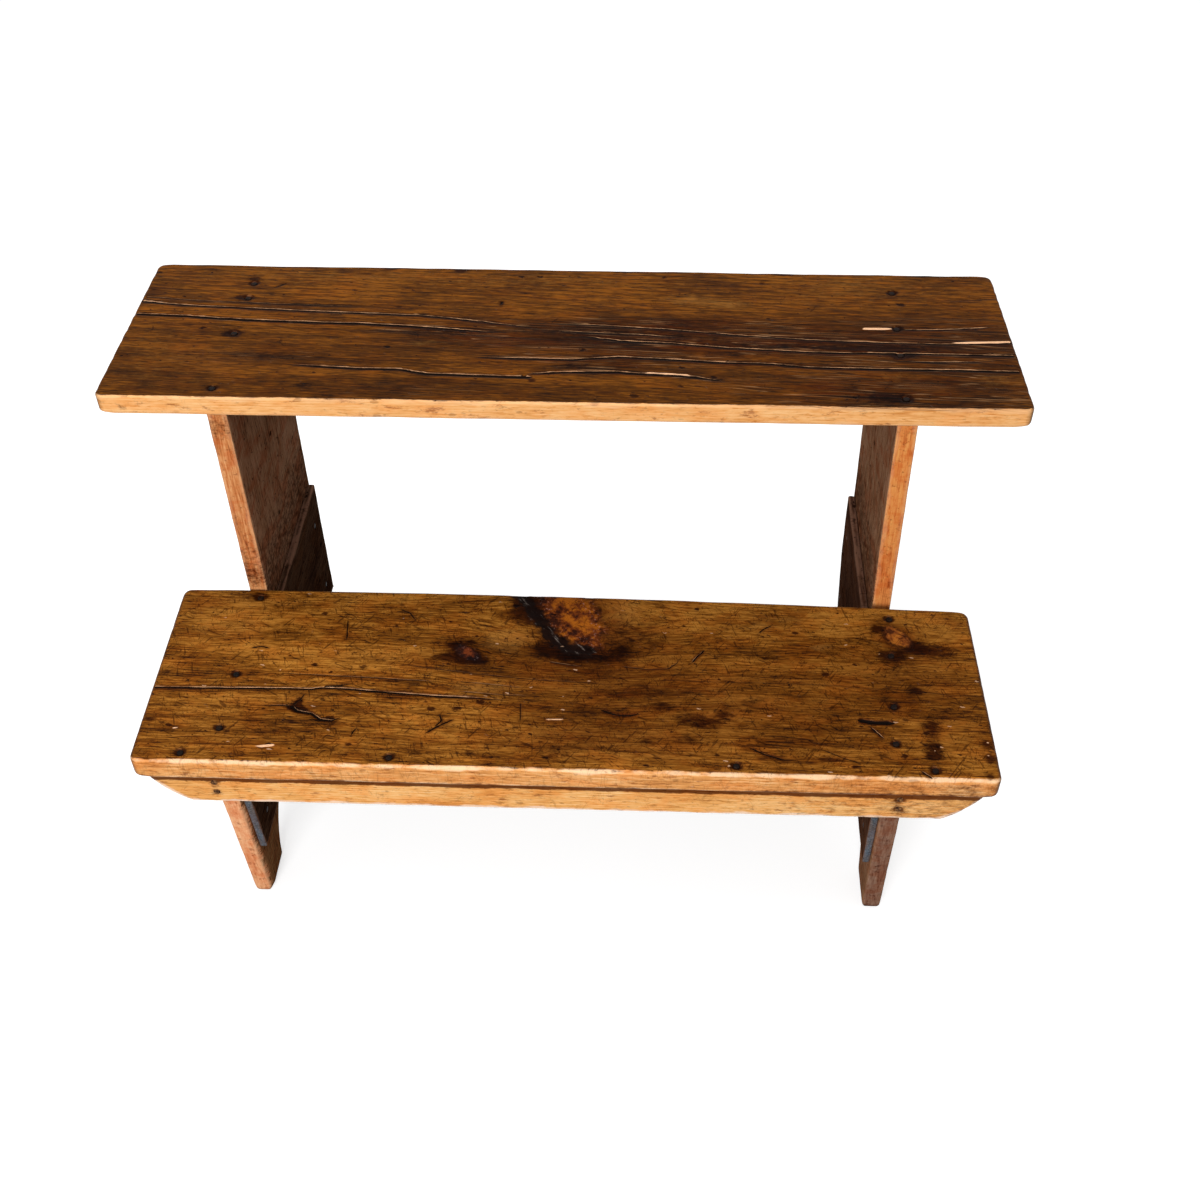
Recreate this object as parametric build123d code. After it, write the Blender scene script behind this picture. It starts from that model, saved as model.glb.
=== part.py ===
"""Stepped bucket bench: two shelf boards on nailed plank ends, all fixed with cut nails.

Millimetres. +X runs along the shelves to the right, +Y to the back, +Z up.
The origin is on the floor, under the middle of the bench's bounding box.
The bench is hand made: the shelves are out of square and the right-hand end leans outwards.
"""
from build123d import *
from math import cos, radians, sin, tan
import os

os.makedirs("parts", exist_ok=True)

# ---------------------------------------------------------------- driving dimensions

# Top shelf: one board, sawn a little out of square at its right end.
TOP_HEIGHT = 546.6           # floor to the top face
TOP_LENGTH = 914.4           # along the front edge
TOP_THICKNESS = 22.0
TOP_DEPTH_LEFT = 249.6
TOP_DEPTH_RIGHT = 245.3
TOP_RIGHT_SLANT = 5.0        # the back right corner stands this far inside the front one

# Lower shelf: one board, wider at its left end, its back edge bowed.
LOWER_HEIGHT = 289.8
LOWER_THICKNESS = 27.6
LOWER_DEPTH_LEFT = 246.2
LOWER_DEPTH_RIGHT = 234.8
LOWER_BACK_BOW = 6.0
LOWER_LEFT_SLANT = 5.4       # the back left corner stands this far outside the front one

# Both shelves.
SHELF_CORNER_RADIUS = 9.0    # worn corners, seen from above
SHELF_ARRIS = 2.5            # worn long edges

# Plank ends: a tall board behind and a short board in front, edge to edge.
END_THICKNESS = 20.5
RIGHT_LEAN = 1.15            # degrees outwards, about the top of the board
RIGHT_TOE = 0.7              # degrees, the back edge stands further out
BOARD_ARRIS = 1.2
SCRIBE_ALLOWANCE = 0.3       # spare wood beyond what the lean and the toe-out take up
TOP_OVERHANG_LEFT = 107.5    # top shelf past the outer face of the left end
TOP_OVERHANG_RIGHT = 108.7
TOP_OVERHANG_FRONT = 2.4     # top shelf past the front edge of the uprights
TOP_OVERHANG_BACK = 24.2     # top shelf past the back edge of each upright
LOWER_OVERHANG_LEFT = 65.5
LOWER_OVERHANG_RIGHT = 84.7
SHELF_GAP = 0.5              # lower shelf's back edge to the uprights

# Feet: an arch is sawn through both boards of an end, from toe to heel.
TOE_SETBACK = 51.5           # lower shelf's front edge to the toe, on the floor
TOE_LENGTH = 50.0            # of the front foot, on the floor
HEEL_LENGTH = 66.0           # of the back foot, on the floor
ARCH_HEIGHT = 88.0
FOOT_ROUND = 7.0             # rounding of the feet where they meet the arch

# Apron: a strip under the lower shelf's front edge, nailed to the front legs.
APRON_SETBACK = 7.0
APRON_THICKNESS = 24.0
APRON_HEIGHT = 42.5
APRON_END_INSET = 9.0        # inside the lower shelf's ends, at the top
APRON_END_RUN = 40.0         # how far each sawn end slopes inwards
APRON_END_BULGE = 5.0        # the sawn ends are slightly convex
APRON_END_ROUND = 6.0

# Battens: a thin board across the inside of each end, under the lower shelf.
BATTEN_THICKNESS = 8.0
BATTEN_BOTTOM = 90.0         # above the floor
BATTEN_FRONT_SETBACK = 4.0   # behind the front leg's edge
BATTEN_BACK_SETBACK = 6.0    # before the upright's back edge
BATTEN_CLIP_DEPTH = 22.0     # the right batten's lower back corner is sawn off
BATTEN_CLIP_HEIGHT = 75.0

# Cut nails: a flat head on a shank that tapers to a blunt point.
NAIL_HEAD_WIDTH = 7.0
NAIL_HEAD_THICKNESS = 1.6
NAIL_SHANK = 3.2
NAIL_POINT = 1.6
NAIL_SET = 0.5               # heads are driven this far below the wood
SHELF_NAIL_LENGTH = 58.0
APRON_NAIL_LENGTH = 52.0
BATTEN_NAIL_LENGTH = 24.0
NAIL_EDGE = 14.0             # closest nail to the end of its joint
NAIL_STAGGER = 4.5           # shelf nails pass the apron nails inside a leg by this
APRON_NAIL_INSET = 5.0       # shelf nails stand this far behind the apron's face
BATTEN_NAIL_EDGE = 30.0      # nail rows from the batten's top and bottom edges

# Where each nail was driven, from the first (0) to the last (1) of its joint.
TOP_LEFT_NAILS = (0.0, 0.50, 0.85, 1.0)
TOP_RIGHT_NAILS = (0.0, 0.39, 0.64, 1.0)
LOWER_LEFT_NAILS = (0.0, 0.39, 1.0)
LOWER_RIGHT_NAILS = (0.0, 0.26, 0.64, 0.93)
SHELF_TO_APRON_NAILS = (0.0, 0.28, 0.74, 1.0)
APRON_TO_LEG_NAILS = (0.0, 1.0)
BATTEN_ROW_NAILS = (0.0, 1.0)

# How far inwards of the middle of its board each row of shelf nails starts, at the front, and ends.
TOP_LEFT_LINE = (-3.5, -3.5)
TOP_RIGHT_LINE = (2.5, -1.7)
LOWER_LEFT_LINE = (NAIL_STAGGER, 6.0)
LOWER_RIGHT_LINE = (NAIL_STAGGER, -6.0)

# ---------------------------------------------------------------- worked-out places

top_underside = TOP_HEIGHT - TOP_THICKNESS
lower_underside = LOWER_HEIGHT - LOWER_THICKNESS

# Across the bench.
top_left_x = -TOP_LENGTH / 2
top_right_x = TOP_LENGTH / 2
left_outer_x = top_left_x + TOP_OVERHANG_LEFT
right_outer_x = top_right_x - TOP_OVERHANG_RIGHT
lower_left_x = left_outer_x - LOWER_OVERHANG_LEFT
lower_right_x = right_outer_x + LOWER_OVERHANG_RIGHT


def top_depth(x):
    """Depth of the top shelf at x: it narrows to the right."""
    share = (x - top_left_x) / TOP_LENGTH
    return TOP_DEPTH_LEFT * (1 - share) + TOP_DEPTH_RIGHT * share


def lower_depth(x):
    """Depth of the lower shelf at x: it narrows to the right and its back edge bows."""
    middle_x = (lower_left_x + lower_right_x) / 2
    share = (x - middle_x) / (lower_right_x - middle_x)
    straight = (LOWER_DEPTH_LEFT * (1 - share) + LOWER_DEPTH_RIGHT * (1 + share)) / 2
    return straight + LOWER_BACK_BOW * (1 - share ** 2)


# From front to back. The lower shelf stands wholly in front of the uprights.
depth_at_ends = max(lower_depth(left_outer_x + END_THICKNESS), lower_depth(right_outer_x))
upright_setback = depth_at_ends + SHELF_GAP
total_depth = upright_setback - TOP_OVERHANG_FRONT + max(TOP_DEPTH_LEFT, TOP_DEPTH_RIGHT)
lower_front_y = -total_depth / 2
upright_front_y = lower_front_y + upright_setback
top_front_y = upright_front_y - TOP_OVERHANG_FRONT
upright_back_y = {
    "left": top_front_y + top_depth(left_outer_x) - TOP_OVERHANG_BACK,
    "right": top_front_y + top_depth(right_outer_x) - TOP_OVERHANG_BACK,
}
apron_front_y = lower_front_y + APRON_SETBACK
apron_back_y = apron_front_y + APRON_THICKNESS
apron_bottom = lower_underside - APRON_HEIGHT
toe_y = lower_front_y + TOE_SETBACK
arch_front_y = toe_y + TOE_LENGTH

# Wood left on the ends, to be scribed off level with the shelves, the floor and the apron.
lean_drop = END_THICKNESS * sin(radians(RIGHT_LEAN)) + TOP_HEIGHT * (1 - cos(radians(RIGHT_LEAN)))
scribe = lean_drop + SCRIBE_ALLOWANCE
front_scribe = END_THICKNESS * sin(radians(RIGHT_TOE)) + SCRIBE_ALLOWANCE
arch_radius = ARCH_HEIGHT + scribe


def leg_edge_y(z):
    """Front edge of the front leg: upright behind the apron, then sloping out to the toe."""
    share = min(z, apron_bottom) / apron_bottom
    return toe_y + (apron_back_y - toe_y) * share


def right_face_x(y, z):
    """Outer face of the right end, which leans and toes out."""
    lean_out = (top_underside - z) * tan(radians(RIGHT_LEAN))
    toe_out = (y - upright_front_y) * tan(radians(RIGHT_TOE))
    return right_outer_x + lean_out + toe_out


# The right end is laid out square, then turned about the top of its front outer edge.
pivot = Pos(right_outer_x, upright_front_y, top_underside)
right_set = pivot * Rot(0, -RIGHT_LEAN, -RIGHT_TOE) * pivot.inverse()


def board_middle_x(side, y, z):
    """Middle of an end board's thickness."""
    if side == "left":
        return left_outer_x + END_THICKNESS / 2
    return right_face_x(y, z) - END_THICKNESS / 2


def spots(first, last, shares):
    """Places along a joint, from its first nail to its last."""
    return [first + (last - first) * share for share in shares]


# ---------------------------------------------------------------- nails

def nail(length):
    """A cut nail hanging point down from the origin, its head set below the surface."""
    head = Pos(0, 0, -NAIL_SET) * Box(
        NAIL_HEAD_WIDTH, NAIL_HEAD_WIDTH, NAIL_HEAD_THICKNESS, align=(Align.CENTER, Align.CENTER, Align.MAX)
    )
    neck_z = -NAIL_SET - NAIL_HEAD_THICKNESS
    neck = Plane.XY.offset(neck_z) * Rectangle(NAIL_SHANK, NAIL_SHANK)
    point = Plane.XY.offset(-length) * Rectangle(NAIL_POINT, NAIL_POINT)
    return head + loft([neck.face(), point.face()])


def head_recess():
    """The dent over a head that was driven below the surface."""
    return Box(
        NAIL_HEAD_WIDTH, NAIL_HEAD_WIDTH, NAIL_SET, align=(Align.CENTER, Align.CENTER, Align.MAX)
    )


def driven(places, length):
    """Nails at the places, and the cavity that each one fills."""
    nails = [place * nail(length) for place in places]
    cavities = nails + [place * head_recess() for place in places]
    return nails, cavities


def shelf_nail_places(side, height, first_y, last_y, shares, line):
    """Nails driven down through a shelf into an end board, along a line that may run askew."""
    inwards = 1 if side == "left" else -1
    places = []
    for y, offset in zip(spots(first_y, last_y, shares), spots(line[0], line[1], shares)):
        places.append(Pos(board_middle_x(side, y, height) + inwards * offset, y, height))
    return places


def apron_nail_places(side):
    """Nails driven back through the apron into the middle of a front leg."""
    low = apron_bottom + NAIL_EDGE
    high = lower_underside - NAIL_EDGE
    places = []
    for z in spots(low, high, APRON_TO_LEG_NAILS):
        places.append(Pos(board_middle_x(side, apron_back_y, z), apron_front_y, z) * Rot(90, 0, 0))
    return places


def shelf_to_apron_places():
    """Nails driven down through the lower shelf into the apron."""
    first_x = lower_left_x + APRON_END_INSET + APRON_END_RUN
    last_x = lower_right_x - APRON_END_INSET - APRON_END_RUN - NAIL_EDGE
    y = apron_front_y + APRON_NAIL_INSET
    return [Pos(x, y, LOWER_HEIGHT) for x in spots(first_x, last_x, SHELF_TO_APRON_NAILS)]


def on_batten_face(side, y, z):
    """A nail's place on the inner face of a batten, pointing outwards through it."""
    depth = END_THICKNESS + BATTEN_THICKNESS
    if side == "left":
        return Pos(left_outer_x + depth, y, z) * Rot(0, 90, 0)
    return right_set * Pos(right_outer_x - depth, y, z) * Rot(0, -90, 0)


def batten_nail_places(side):
    """Two rows of nails through a batten, into the front leg and into the upright."""
    row_low = BATTEN_BOTTOM + BATTEN_NAIL_EDGE
    row_high = lower_underside - BATTEN_NAIL_EDGE - NAIL_EDGE
    leg_first = leg_edge_y(BATTEN_BOTTOM) + BATTEN_FRONT_SETBACK + 2 * NAIL_EDGE
    leg_last = upright_front_y - 2 * NAIL_EDGE
    upright_first = upright_front_y + 2 * NAIL_EDGE
    upright_last = upright_back_y[side] - BATTEN_BACK_SETBACK - 2 * NAIL_EDGE
    row = spots(leg_first, leg_last, BATTEN_ROW_NAILS) + spots(upright_first, upright_last, BATTEN_ROW_NAILS)
    return [on_batten_face(side, y, z) for z in (row_low, row_high) for y in row]


# ---------------------------------------------------------------- boards

def shelf_board(outline, top_z, thickness):
    """A shelf with rounded corners and worn edges, from its outline seen from above."""
    face = Plane.XY.offset(top_z - thickness) * make_face(outline)
    face = fillet(face.vertices(), SHELF_CORNER_RADIUS)
    board = extrude(face, thickness, dir=(0, 0, 1))
    level_faces = board.faces().filter_by(Axis.Z)
    return fillet(level_faces.edges(), SHELF_ARRIS)


def top_shelf():
    """Upper board."""
    outline = Polyline(
        (top_left_x, top_front_y),
        (top_right_x, top_front_y),
        (top_right_x - TOP_RIGHT_SLANT, top_front_y + TOP_DEPTH_RIGHT),
        (top_left_x, top_front_y + TOP_DEPTH_LEFT),
        close=True,
    )
    return shelf_board(outline, TOP_HEIGHT, TOP_THICKNESS)


def lower_shelf():
    """Lower board, with its bowed back edge."""
    middle_x = (lower_left_x + lower_right_x) / 2
    back_left = (lower_left_x - LOWER_LEFT_SLANT, lower_front_y + LOWER_DEPTH_LEFT)
    back_middle = (middle_x, lower_front_y + lower_depth(middle_x))
    back_right = (lower_right_x, lower_front_y + LOWER_DEPTH_RIGHT)
    front = Polyline(back_left, (lower_left_x, lower_front_y), (lower_right_x, lower_front_y), back_right)
    outline = front + ThreePointArc(back_right, back_middle, back_left)
    return shelf_board(outline, LOWER_HEIGHT, LOWER_THICKNESS)


def sawn_middle(start, end):
    """Middle of a convex sawn end, which bulges to the left of the way from start to end."""
    chord = Vector(*end) - Vector(*start)
    outwards = Vector(-chord.Y, chord.X).normalized()
    return (Vector(*start) + Vector(*end)) / 2 + outwards * APRON_END_BULGE


def apron():
    """Front strip with sloping ends, flat against the shelf and the legs."""
    left = lower_left_x + APRON_END_INSET
    right = lower_right_x - APRON_END_INSET
    top_left = (left, lower_underside)
    top_right = (right, lower_underside)
    bottom_right = (right - APRON_END_RUN, apron_bottom)
    bottom_left = (left + APRON_END_RUN, apron_bottom)
    outline = Line(top_left, top_right) + Line(bottom_right, bottom_left)
    outline += ThreePointArc(top_right, sawn_middle(top_right, bottom_right), bottom_right)
    outline += ThreePointArc(bottom_left, sawn_middle(bottom_left, top_left), top_left)
    face = Plane.XZ.offset(-apron_back_y) * make_face(outline)
    face = fillet(face.vertices().group_by(Axis.Z)[0], APRON_END_ROUND)
    board = extrude(face, APRON_THICKNESS, dir=(0, -1, 0))
    front = board.faces().sort_by(Axis.Y)[0]
    return fillet(front.edges(), BOARD_ARRIS)


def end_plank(outline, thickness, rounded_at=None):
    """A plank of an end laid out from x = 0 inwards, with eased edges and a rounded foot."""
    face = make_face(outline)
    if rounded_at is not None:
        face = fillet(face.vertices().sort_by_distance(rounded_at)[0], FOOT_ROUND)
    plank = extrude(Plane.YZ * face, thickness, dir=(1, 0, 0))
    return fillet(plank.faces().filter_by(Axis.X).edges(), BOARD_ARRIS)


def place_end(plank, side, depth=0.0):
    """Puts a plank on its side of the bench, its outer face depth inside the end's."""
    if side == "left":
        return Pos(left_outer_x + depth, 0, 0) * plank
    return right_set * Pos(right_outer_x - depth, 0, 0) * mirror(plank, about=Plane.YZ)


def scribed(plank, top_z):
    """Cuts a plank level with the floor and with the shelf above it."""
    reach = 2 * (TOP_LENGTH + total_depth)
    return plank & Box(reach, reach, top_z, align=(Align.CENTER, Align.CENTER, Align.MIN))


def apron_space():
    """The space in front of the apron's back face, which the legs are cut back to."""
    reach = 2 * TOP_LENGTH
    corner = (Align.CENTER, Align.MAX, Align.MIN)
    return Pos(0, apron_back_y, apron_bottom) * Box(reach, reach, APRON_HEIGHT, align=corner)


def front_leg(side):
    """Short front plank: sloping toe edge, flat foot and the front half of the arch."""
    crown_y = arch_front_y + arch_radius
    heel = (arch_front_y, -scribe)
    front = Polyline(
        (crown_y, ARCH_HEIGHT),
        (upright_front_y, ARCH_HEIGHT),
        (upright_front_y, lower_underside + scribe),
        (apron_back_y - front_scribe, lower_underside + scribe),
        (apron_back_y - front_scribe, apron_bottom),
        (toe_y, -scribe),
        heel,
    )
    outline = front + CenterArc((crown_y, -scribe), arch_radius, 90, 90)
    plank = end_plank(outline, END_THICKNESS, heel)
    return scribed(place_end(plank, side), lower_underside) - apron_space()


def upright(side):
    """Tall back plank: the back half of the arch and the back foot."""
    back_y = upright_back_y[side]
    heel_y = back_y - HEEL_LENGTH
    crown_y = heel_y - arch_radius
    heel = (heel_y, -scribe)
    back = Polyline(
        heel,
        (back_y, -scribe),
        (back_y, top_underside + scribe),
        (upright_front_y, top_underside + scribe),
        (upright_front_y, ARCH_HEIGHT),
        (crown_y, ARCH_HEIGHT),
    )
    outline = back + CenterArc((crown_y, -scribe), arch_radius, 0, 90)
    plank = end_plank(outline, END_THICKNESS, heel)
    return scribed(place_end(plank, side), top_underside)


def batten(side):
    """Thin board that ties the two planks of an end and carries the lower shelf."""
    back_y = upright_back_y[side] - BATTEN_BACK_SETBACK
    front = [
        (apron_back_y + BATTEN_FRONT_SETBACK, lower_underside + scribe),
        (apron_back_y + BATTEN_FRONT_SETBACK, apron_bottom),
        (leg_edge_y(BATTEN_BOTTOM) + BATTEN_FRONT_SETBACK, BATTEN_BOTTOM),
    ]
    corner = [(back_y, BATTEN_BOTTOM)]
    if side == "right":
        corner = [(back_y - BATTEN_CLIP_DEPTH, BATTEN_BOTTOM), (back_y, BATTEN_BOTTOM + BATTEN_CLIP_HEIGHT)]
    outline = Polyline(*front, *corner, (back_y, lower_underside + scribe), close=True)
    plank = end_plank(outline, BATTEN_THICKNESS)
    return scribed(place_end(plank, side, END_THICKNESS), lower_underside)


# ---------------------------------------------------------------- the bench

leg_nails_first = apron_back_y + NAIL_EDGE
leg_nails_last = upright_front_y - SHELF_GAP - NAIL_EDGE
top_nails_first = upright_front_y + NAIL_EDGE
lower_shares = {"left": LOWER_LEFT_NAILS, "right": LOWER_RIGHT_NAILS}
lower_lines = {"left": LOWER_LEFT_LINE, "right": LOWER_RIGHT_LINE}
top_shares = {"left": TOP_LEFT_NAILS, "right": TOP_RIGHT_NAILS}
top_lines = {"left": TOP_LEFT_LINE, "right": TOP_RIGHT_LINE}

pieces = {
    "top_shelf": top_shelf(),
    "lower_shelf": lower_shelf(),
    "apron": apron(),
}
nail_groups = {}
cavities = {}

nail_groups["shelf_to_apron_nails"], cavities["shelf_to_apron"] = driven(
    shelf_to_apron_places(), SHELF_NAIL_LENGTH
)
for end in ("left", "right"):
    top_nails_last = upright_back_y[end] - NAIL_EDGE
    nail_groups[f"top_shelf_nails_{end}"], cavities[f"top_{end}"] = driven(
        shelf_nail_places(end, TOP_HEIGHT, top_nails_first, top_nails_last, top_shares[end], top_lines[end]),
        SHELF_NAIL_LENGTH,
    )
    nail_groups[f"lower_shelf_nails_{end}"], cavities[f"lower_{end}"] = driven(
        shelf_nail_places(end, LOWER_HEIGHT, leg_nails_first, leg_nails_last, lower_shares[end], lower_lines[end]),
        SHELF_NAIL_LENGTH,
    )
    nail_groups[f"apron_nails_{end}"], cavities[f"apron_{end}"] = driven(
        apron_nail_places(end), APRON_NAIL_LENGTH
    )
    nail_groups[f"batten_nails_{end}"], cavities[f"batten_{end}"] = driven(
        batten_nail_places(end), BATTEN_NAIL_LENGTH
    )
    pieces[f"front_leg_{end}"] = front_leg(end) - (
        cavities[f"lower_{end}"] + cavities[f"apron_{end}"] + cavities[f"batten_{end}"]
    )
    pieces[f"upright_{end}"] = upright(end) - (cavities[f"top_{end}"] + cavities[f"batten_{end}"])
    pieces[f"batten_{end}"] = batten(end) - cavities[f"batten_{end}"]

pieces["top_shelf"] -= cavities["top_left"] + cavities["top_right"]
pieces["lower_shelf"] -= cavities["lower_left"] + cavities["lower_right"] + cavities["shelf_to_apron"]
pieces["apron"] -= cavities["apron_left"] + cavities["apron_right"] + cavities["shelf_to_apron"]

for name, nails in nail_groups.items():
    pieces[name] = Compound(children=nails)

for name, piece in pieces.items():
    piece.label = name
    export_step(piece, f"parts/{name}.step")
    print(f"{name}: {len(piece.solids())} solid(s), {piece.volume / 1000:.1f} cm3")
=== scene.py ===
import math

import bmesh
import bpy
import numpy as np
from mathutils import Matrix, Vector


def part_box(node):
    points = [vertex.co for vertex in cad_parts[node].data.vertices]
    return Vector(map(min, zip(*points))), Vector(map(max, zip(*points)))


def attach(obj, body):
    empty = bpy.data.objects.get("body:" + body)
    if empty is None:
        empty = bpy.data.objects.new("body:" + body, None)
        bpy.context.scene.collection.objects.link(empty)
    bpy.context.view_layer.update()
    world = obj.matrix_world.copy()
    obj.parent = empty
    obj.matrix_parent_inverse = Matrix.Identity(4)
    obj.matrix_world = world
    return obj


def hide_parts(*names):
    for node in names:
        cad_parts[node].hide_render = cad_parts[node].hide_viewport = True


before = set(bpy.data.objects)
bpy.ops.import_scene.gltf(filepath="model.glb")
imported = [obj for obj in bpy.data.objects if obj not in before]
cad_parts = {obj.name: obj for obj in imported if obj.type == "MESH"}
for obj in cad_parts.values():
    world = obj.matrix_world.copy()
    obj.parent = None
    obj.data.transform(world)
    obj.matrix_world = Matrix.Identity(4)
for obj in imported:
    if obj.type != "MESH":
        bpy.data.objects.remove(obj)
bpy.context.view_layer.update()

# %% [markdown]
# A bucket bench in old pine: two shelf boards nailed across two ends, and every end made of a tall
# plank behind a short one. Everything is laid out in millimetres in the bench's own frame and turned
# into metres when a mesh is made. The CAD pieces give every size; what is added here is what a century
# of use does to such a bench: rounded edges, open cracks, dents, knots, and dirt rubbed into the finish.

MM = 0.001
SKIN = 0.06                    # every board stays this far inside its CAD board
scene = bpy.context.scene


def box(node):
    """Lowest and highest corner of a CAD piece, in millimetres."""
    low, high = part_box(node)
    return np.array(low) / MM, np.array(high) / MM


top_low, top_high = box("top_shelf")
print("top shelf", np.round(top_low, 1), np.round(top_high, 1))

# %% [markdown]
# The nails come first, because each board is dented where a nail went in. Their places could be typed
# in, but then they might drift from the CAD. So the CAD nails are read: the points of a piece are
# sorted into separate nails, and each nail's head is the end that was driven last.

# %% Where the nails are
DOWN, BACK, LEFT, RIGHT = (0, 0, -1), (0, 1, 0), (-1, 0, 0), (1, 0, 0)
NAIL_NODES = {
    "top_shelf_nails_left": DOWN,
    "top_shelf_nails_right": DOWN,
    "lower_shelf_nails_left": DOWN,
    "lower_shelf_nails_right": DOWN,
    "shelf_to_apron_nails": DOWN,
    "apron_nails_left": BACK,
    "apron_nails_right": BACK,
    "batten_nails_left": LEFT,
    "batten_nails_right": RIGHT,
}
END_SLICE = 0.3                # points this near a nail's end belong to its head or its tip


def islands(mesh):
    """The separate solids of a mesh, each as an array of points in millimetres."""
    bm = bmesh.new()
    bm.from_mesh(mesh)
    bmesh.ops.remove_doubles(bm, verts=bm.verts, dist=1e-5)
    unseen = set(bm.verts)
    found = []
    while unseen:
        front = [unseen.pop()]
        members = []
        while front:
            vert = front.pop()
            members.append(tuple(vert.co))
            for edge in vert.link_edges:
                other = edge.other_vert(vert)
                if other in unseen:
                    unseen.remove(other)
                    front.append(other)
        found.append(np.array(members) / MM)
    bm.free()
    return sorted(found, key=lambda points: tuple(np.round(points.mean(axis=0), 1)))


def nail_places(node, way):
    """(middle of the head's face, direction, length) of each nail in a CAD piece."""
    places = []
    for points in islands(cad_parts[node].data):
        reach = points @ np.array(way, float)
        head = points[reach < reach.min() + END_SLICE].mean(axis=0)
        tip = points[reach > reach.max() - END_SLICE].mean(axis=0)
        axis = tip - head
        length = float(np.linalg.norm(axis))
        places.append((head, axis / length, length))
    return places


nails = {node: nail_places(node, way) for node, way in NAIL_NODES.items()}
print("nails:", sum(len(places) for places in nails.values()))

# %% [markdown]
# Cracks, gouges and scratches are thin lines, finer than any mesh that is worth its size. Each one is
# a run of points on the board, with its width. The board's vertices store how far they are from the
# nearest line, and on which side, so a material can draw a crisp black gap, painted shade with dirt,
# and a pale broken lip, bare wood with a painted highlight.

# %% Distance to a drawn line
NOWHERE = 1e9                  # the distance to a line where there is none
FAR = 9.0                      # signed distances are cut off here
LINE_REACH, LINE_FADE = 4.4, 1.8    # a line counts this far out, and weakens over this much before that
TIP = 0.1                      # a line's tip isn't quite shut


def line_field(x, y, lines):
    """Distance to the nearest line, the same with a sign for its side, its width and its pale lip."""
    nearest = np.full(x.shape, NOWHERE)
    signed = np.full(x.shape, FAR)
    width = np.zeros(x.shape)
    lip = np.zeros(x.shape)
    for line_width, line_lip, fade_start, fade_end, points in lines:
        points = np.array(points, float)
        steps = np.hypot(*np.diff(points, axis=0).T)
        total = steps.sum()
        start = 0.0
        for (x0, y0), (x1, y1), length in zip(points[:-1], points[1:], steps):
            tx, ty = (x1 - x0) / length, (y1 - y0) / length
            along = np.clip((x - x0) * tx + (y - y0) * ty, 0, length)
            reach = np.hypot(x - x0 - along * tx, y - y0 - along * ty)
            side = np.where(tx * (y - y0) - ty * (x - x0) < 0, -1.0, 1.0)
            gone = start + along
            taper = np.minimum((gone + TIP) / fade_start, (total - gone + TIP) / fade_end)
            taper = np.clip(taper, 0, 1) * np.clip((LINE_REACH - reach) / LINE_FADE, 0, 1)
            closer = reach < nearest
            nearest = np.where(closer, reach, nearest)
            signed = np.where(closer, side * reach, signed)
            width = np.where(closer, line_width * taper, width)
            lip = np.where(closer, line_lip * taper, lip)
            start += length
    return nearest, np.clip(signed, -FAR, FAR), width, lip


trial = line_field(np.array([5.0]), np.array([3.0]), [(1.0, 0.5, 1, 1, [(0, 0), (10, 0)])])
print("a point 3 mm beside a line reads", trial[0][0])

# %% [markdown]
# Stains have no edge worth drawing: each is a soft oval. A board that was planed by hand and then used
# is never flat either, so a few long waves are added up. Their directions are drawn with a fixed seed,
# which makes them the same on every run.

# %% Soft patches and unevenness
WAVES = 7


def spot_field(x, y, spots):
    """Soft round or long patches added up: each is (x, y, half length, half width, amount)."""
    total = np.zeros(x.shape)
    for sx, sy, rx, ry, amount in spots:
        total += amount * np.exp(-(((x - sx) / rx) ** 2 + ((y - sy) / ry) ** 2))
    return total


def uneven(x, y, seed, size):
    """A smooth repeatable unevenness from -1 to 1 with lumps about this many millimetres across."""
    rng = np.random.default_rng(seed)
    total = np.zeros(np.shape(x))
    for _ in range(WAVES):
        angle = rng.uniform(0, 2 * math.pi)
        pace = 2 * math.pi / (size * rng.uniform(1.2, 3.2))
        total = total + np.sin((x * math.cos(angle) + y * math.sin(angle)) * pace + rng.uniform(0, 6.3))
    return np.clip(total / 4.0, -1, 1)


trial = uneven(np.arange(0.0, 900.0, 5.0), 0.0, 1, 60)
print("unevenness along a board:", trial.min().round(2), "to", trial.max().round(2))

# %% [markdown]
# A shelf is a fine grid, because everything that makes it look old is small. The grid is laid out on a
# plain rectangle, with closer lines near its edges where the wear is, and its corners are pulled round.

# %% Top face of a shelf
EDGE_LINES = np.array([0.0, 1.1, 2.3, 3.6, 5.0, 6.5])


def grid_places(length, step):
    """Grid lines along one side, closer together near both ends."""
    count = round((length - 2 * EDGE_LINES[-1]) / step)
    middle = np.linspace(EDGE_LINES[-1], length - EDGE_LINES[-1], count + 1)
    return np.concatenate([EDGE_LINES[:-1], middle, (length - EDGE_LINES[:-1])[::-1]])


def pull_corners_round(p, q, length, depth, radius):
    """Moves the grid's points in its four corners so that each corner's outline is a quarter circle."""
    a = np.clip(np.maximum(radius - p, p - (length - radius)) / radius, 0, 1)
    b = np.clip(np.maximum(radius - q, q - (depth - radius)) / radius, 0, 1)
    new_a = a * np.sqrt(1 - b ** 2 / 2)
    new_b = b * np.sqrt(1 - a ** 2 / 2)
    p = p + np.sign(p - length / 2) * radius * (new_a - a)
    q = q + np.sign(q - depth / 2) * radius * (new_b - b)
    return p, q


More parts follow.
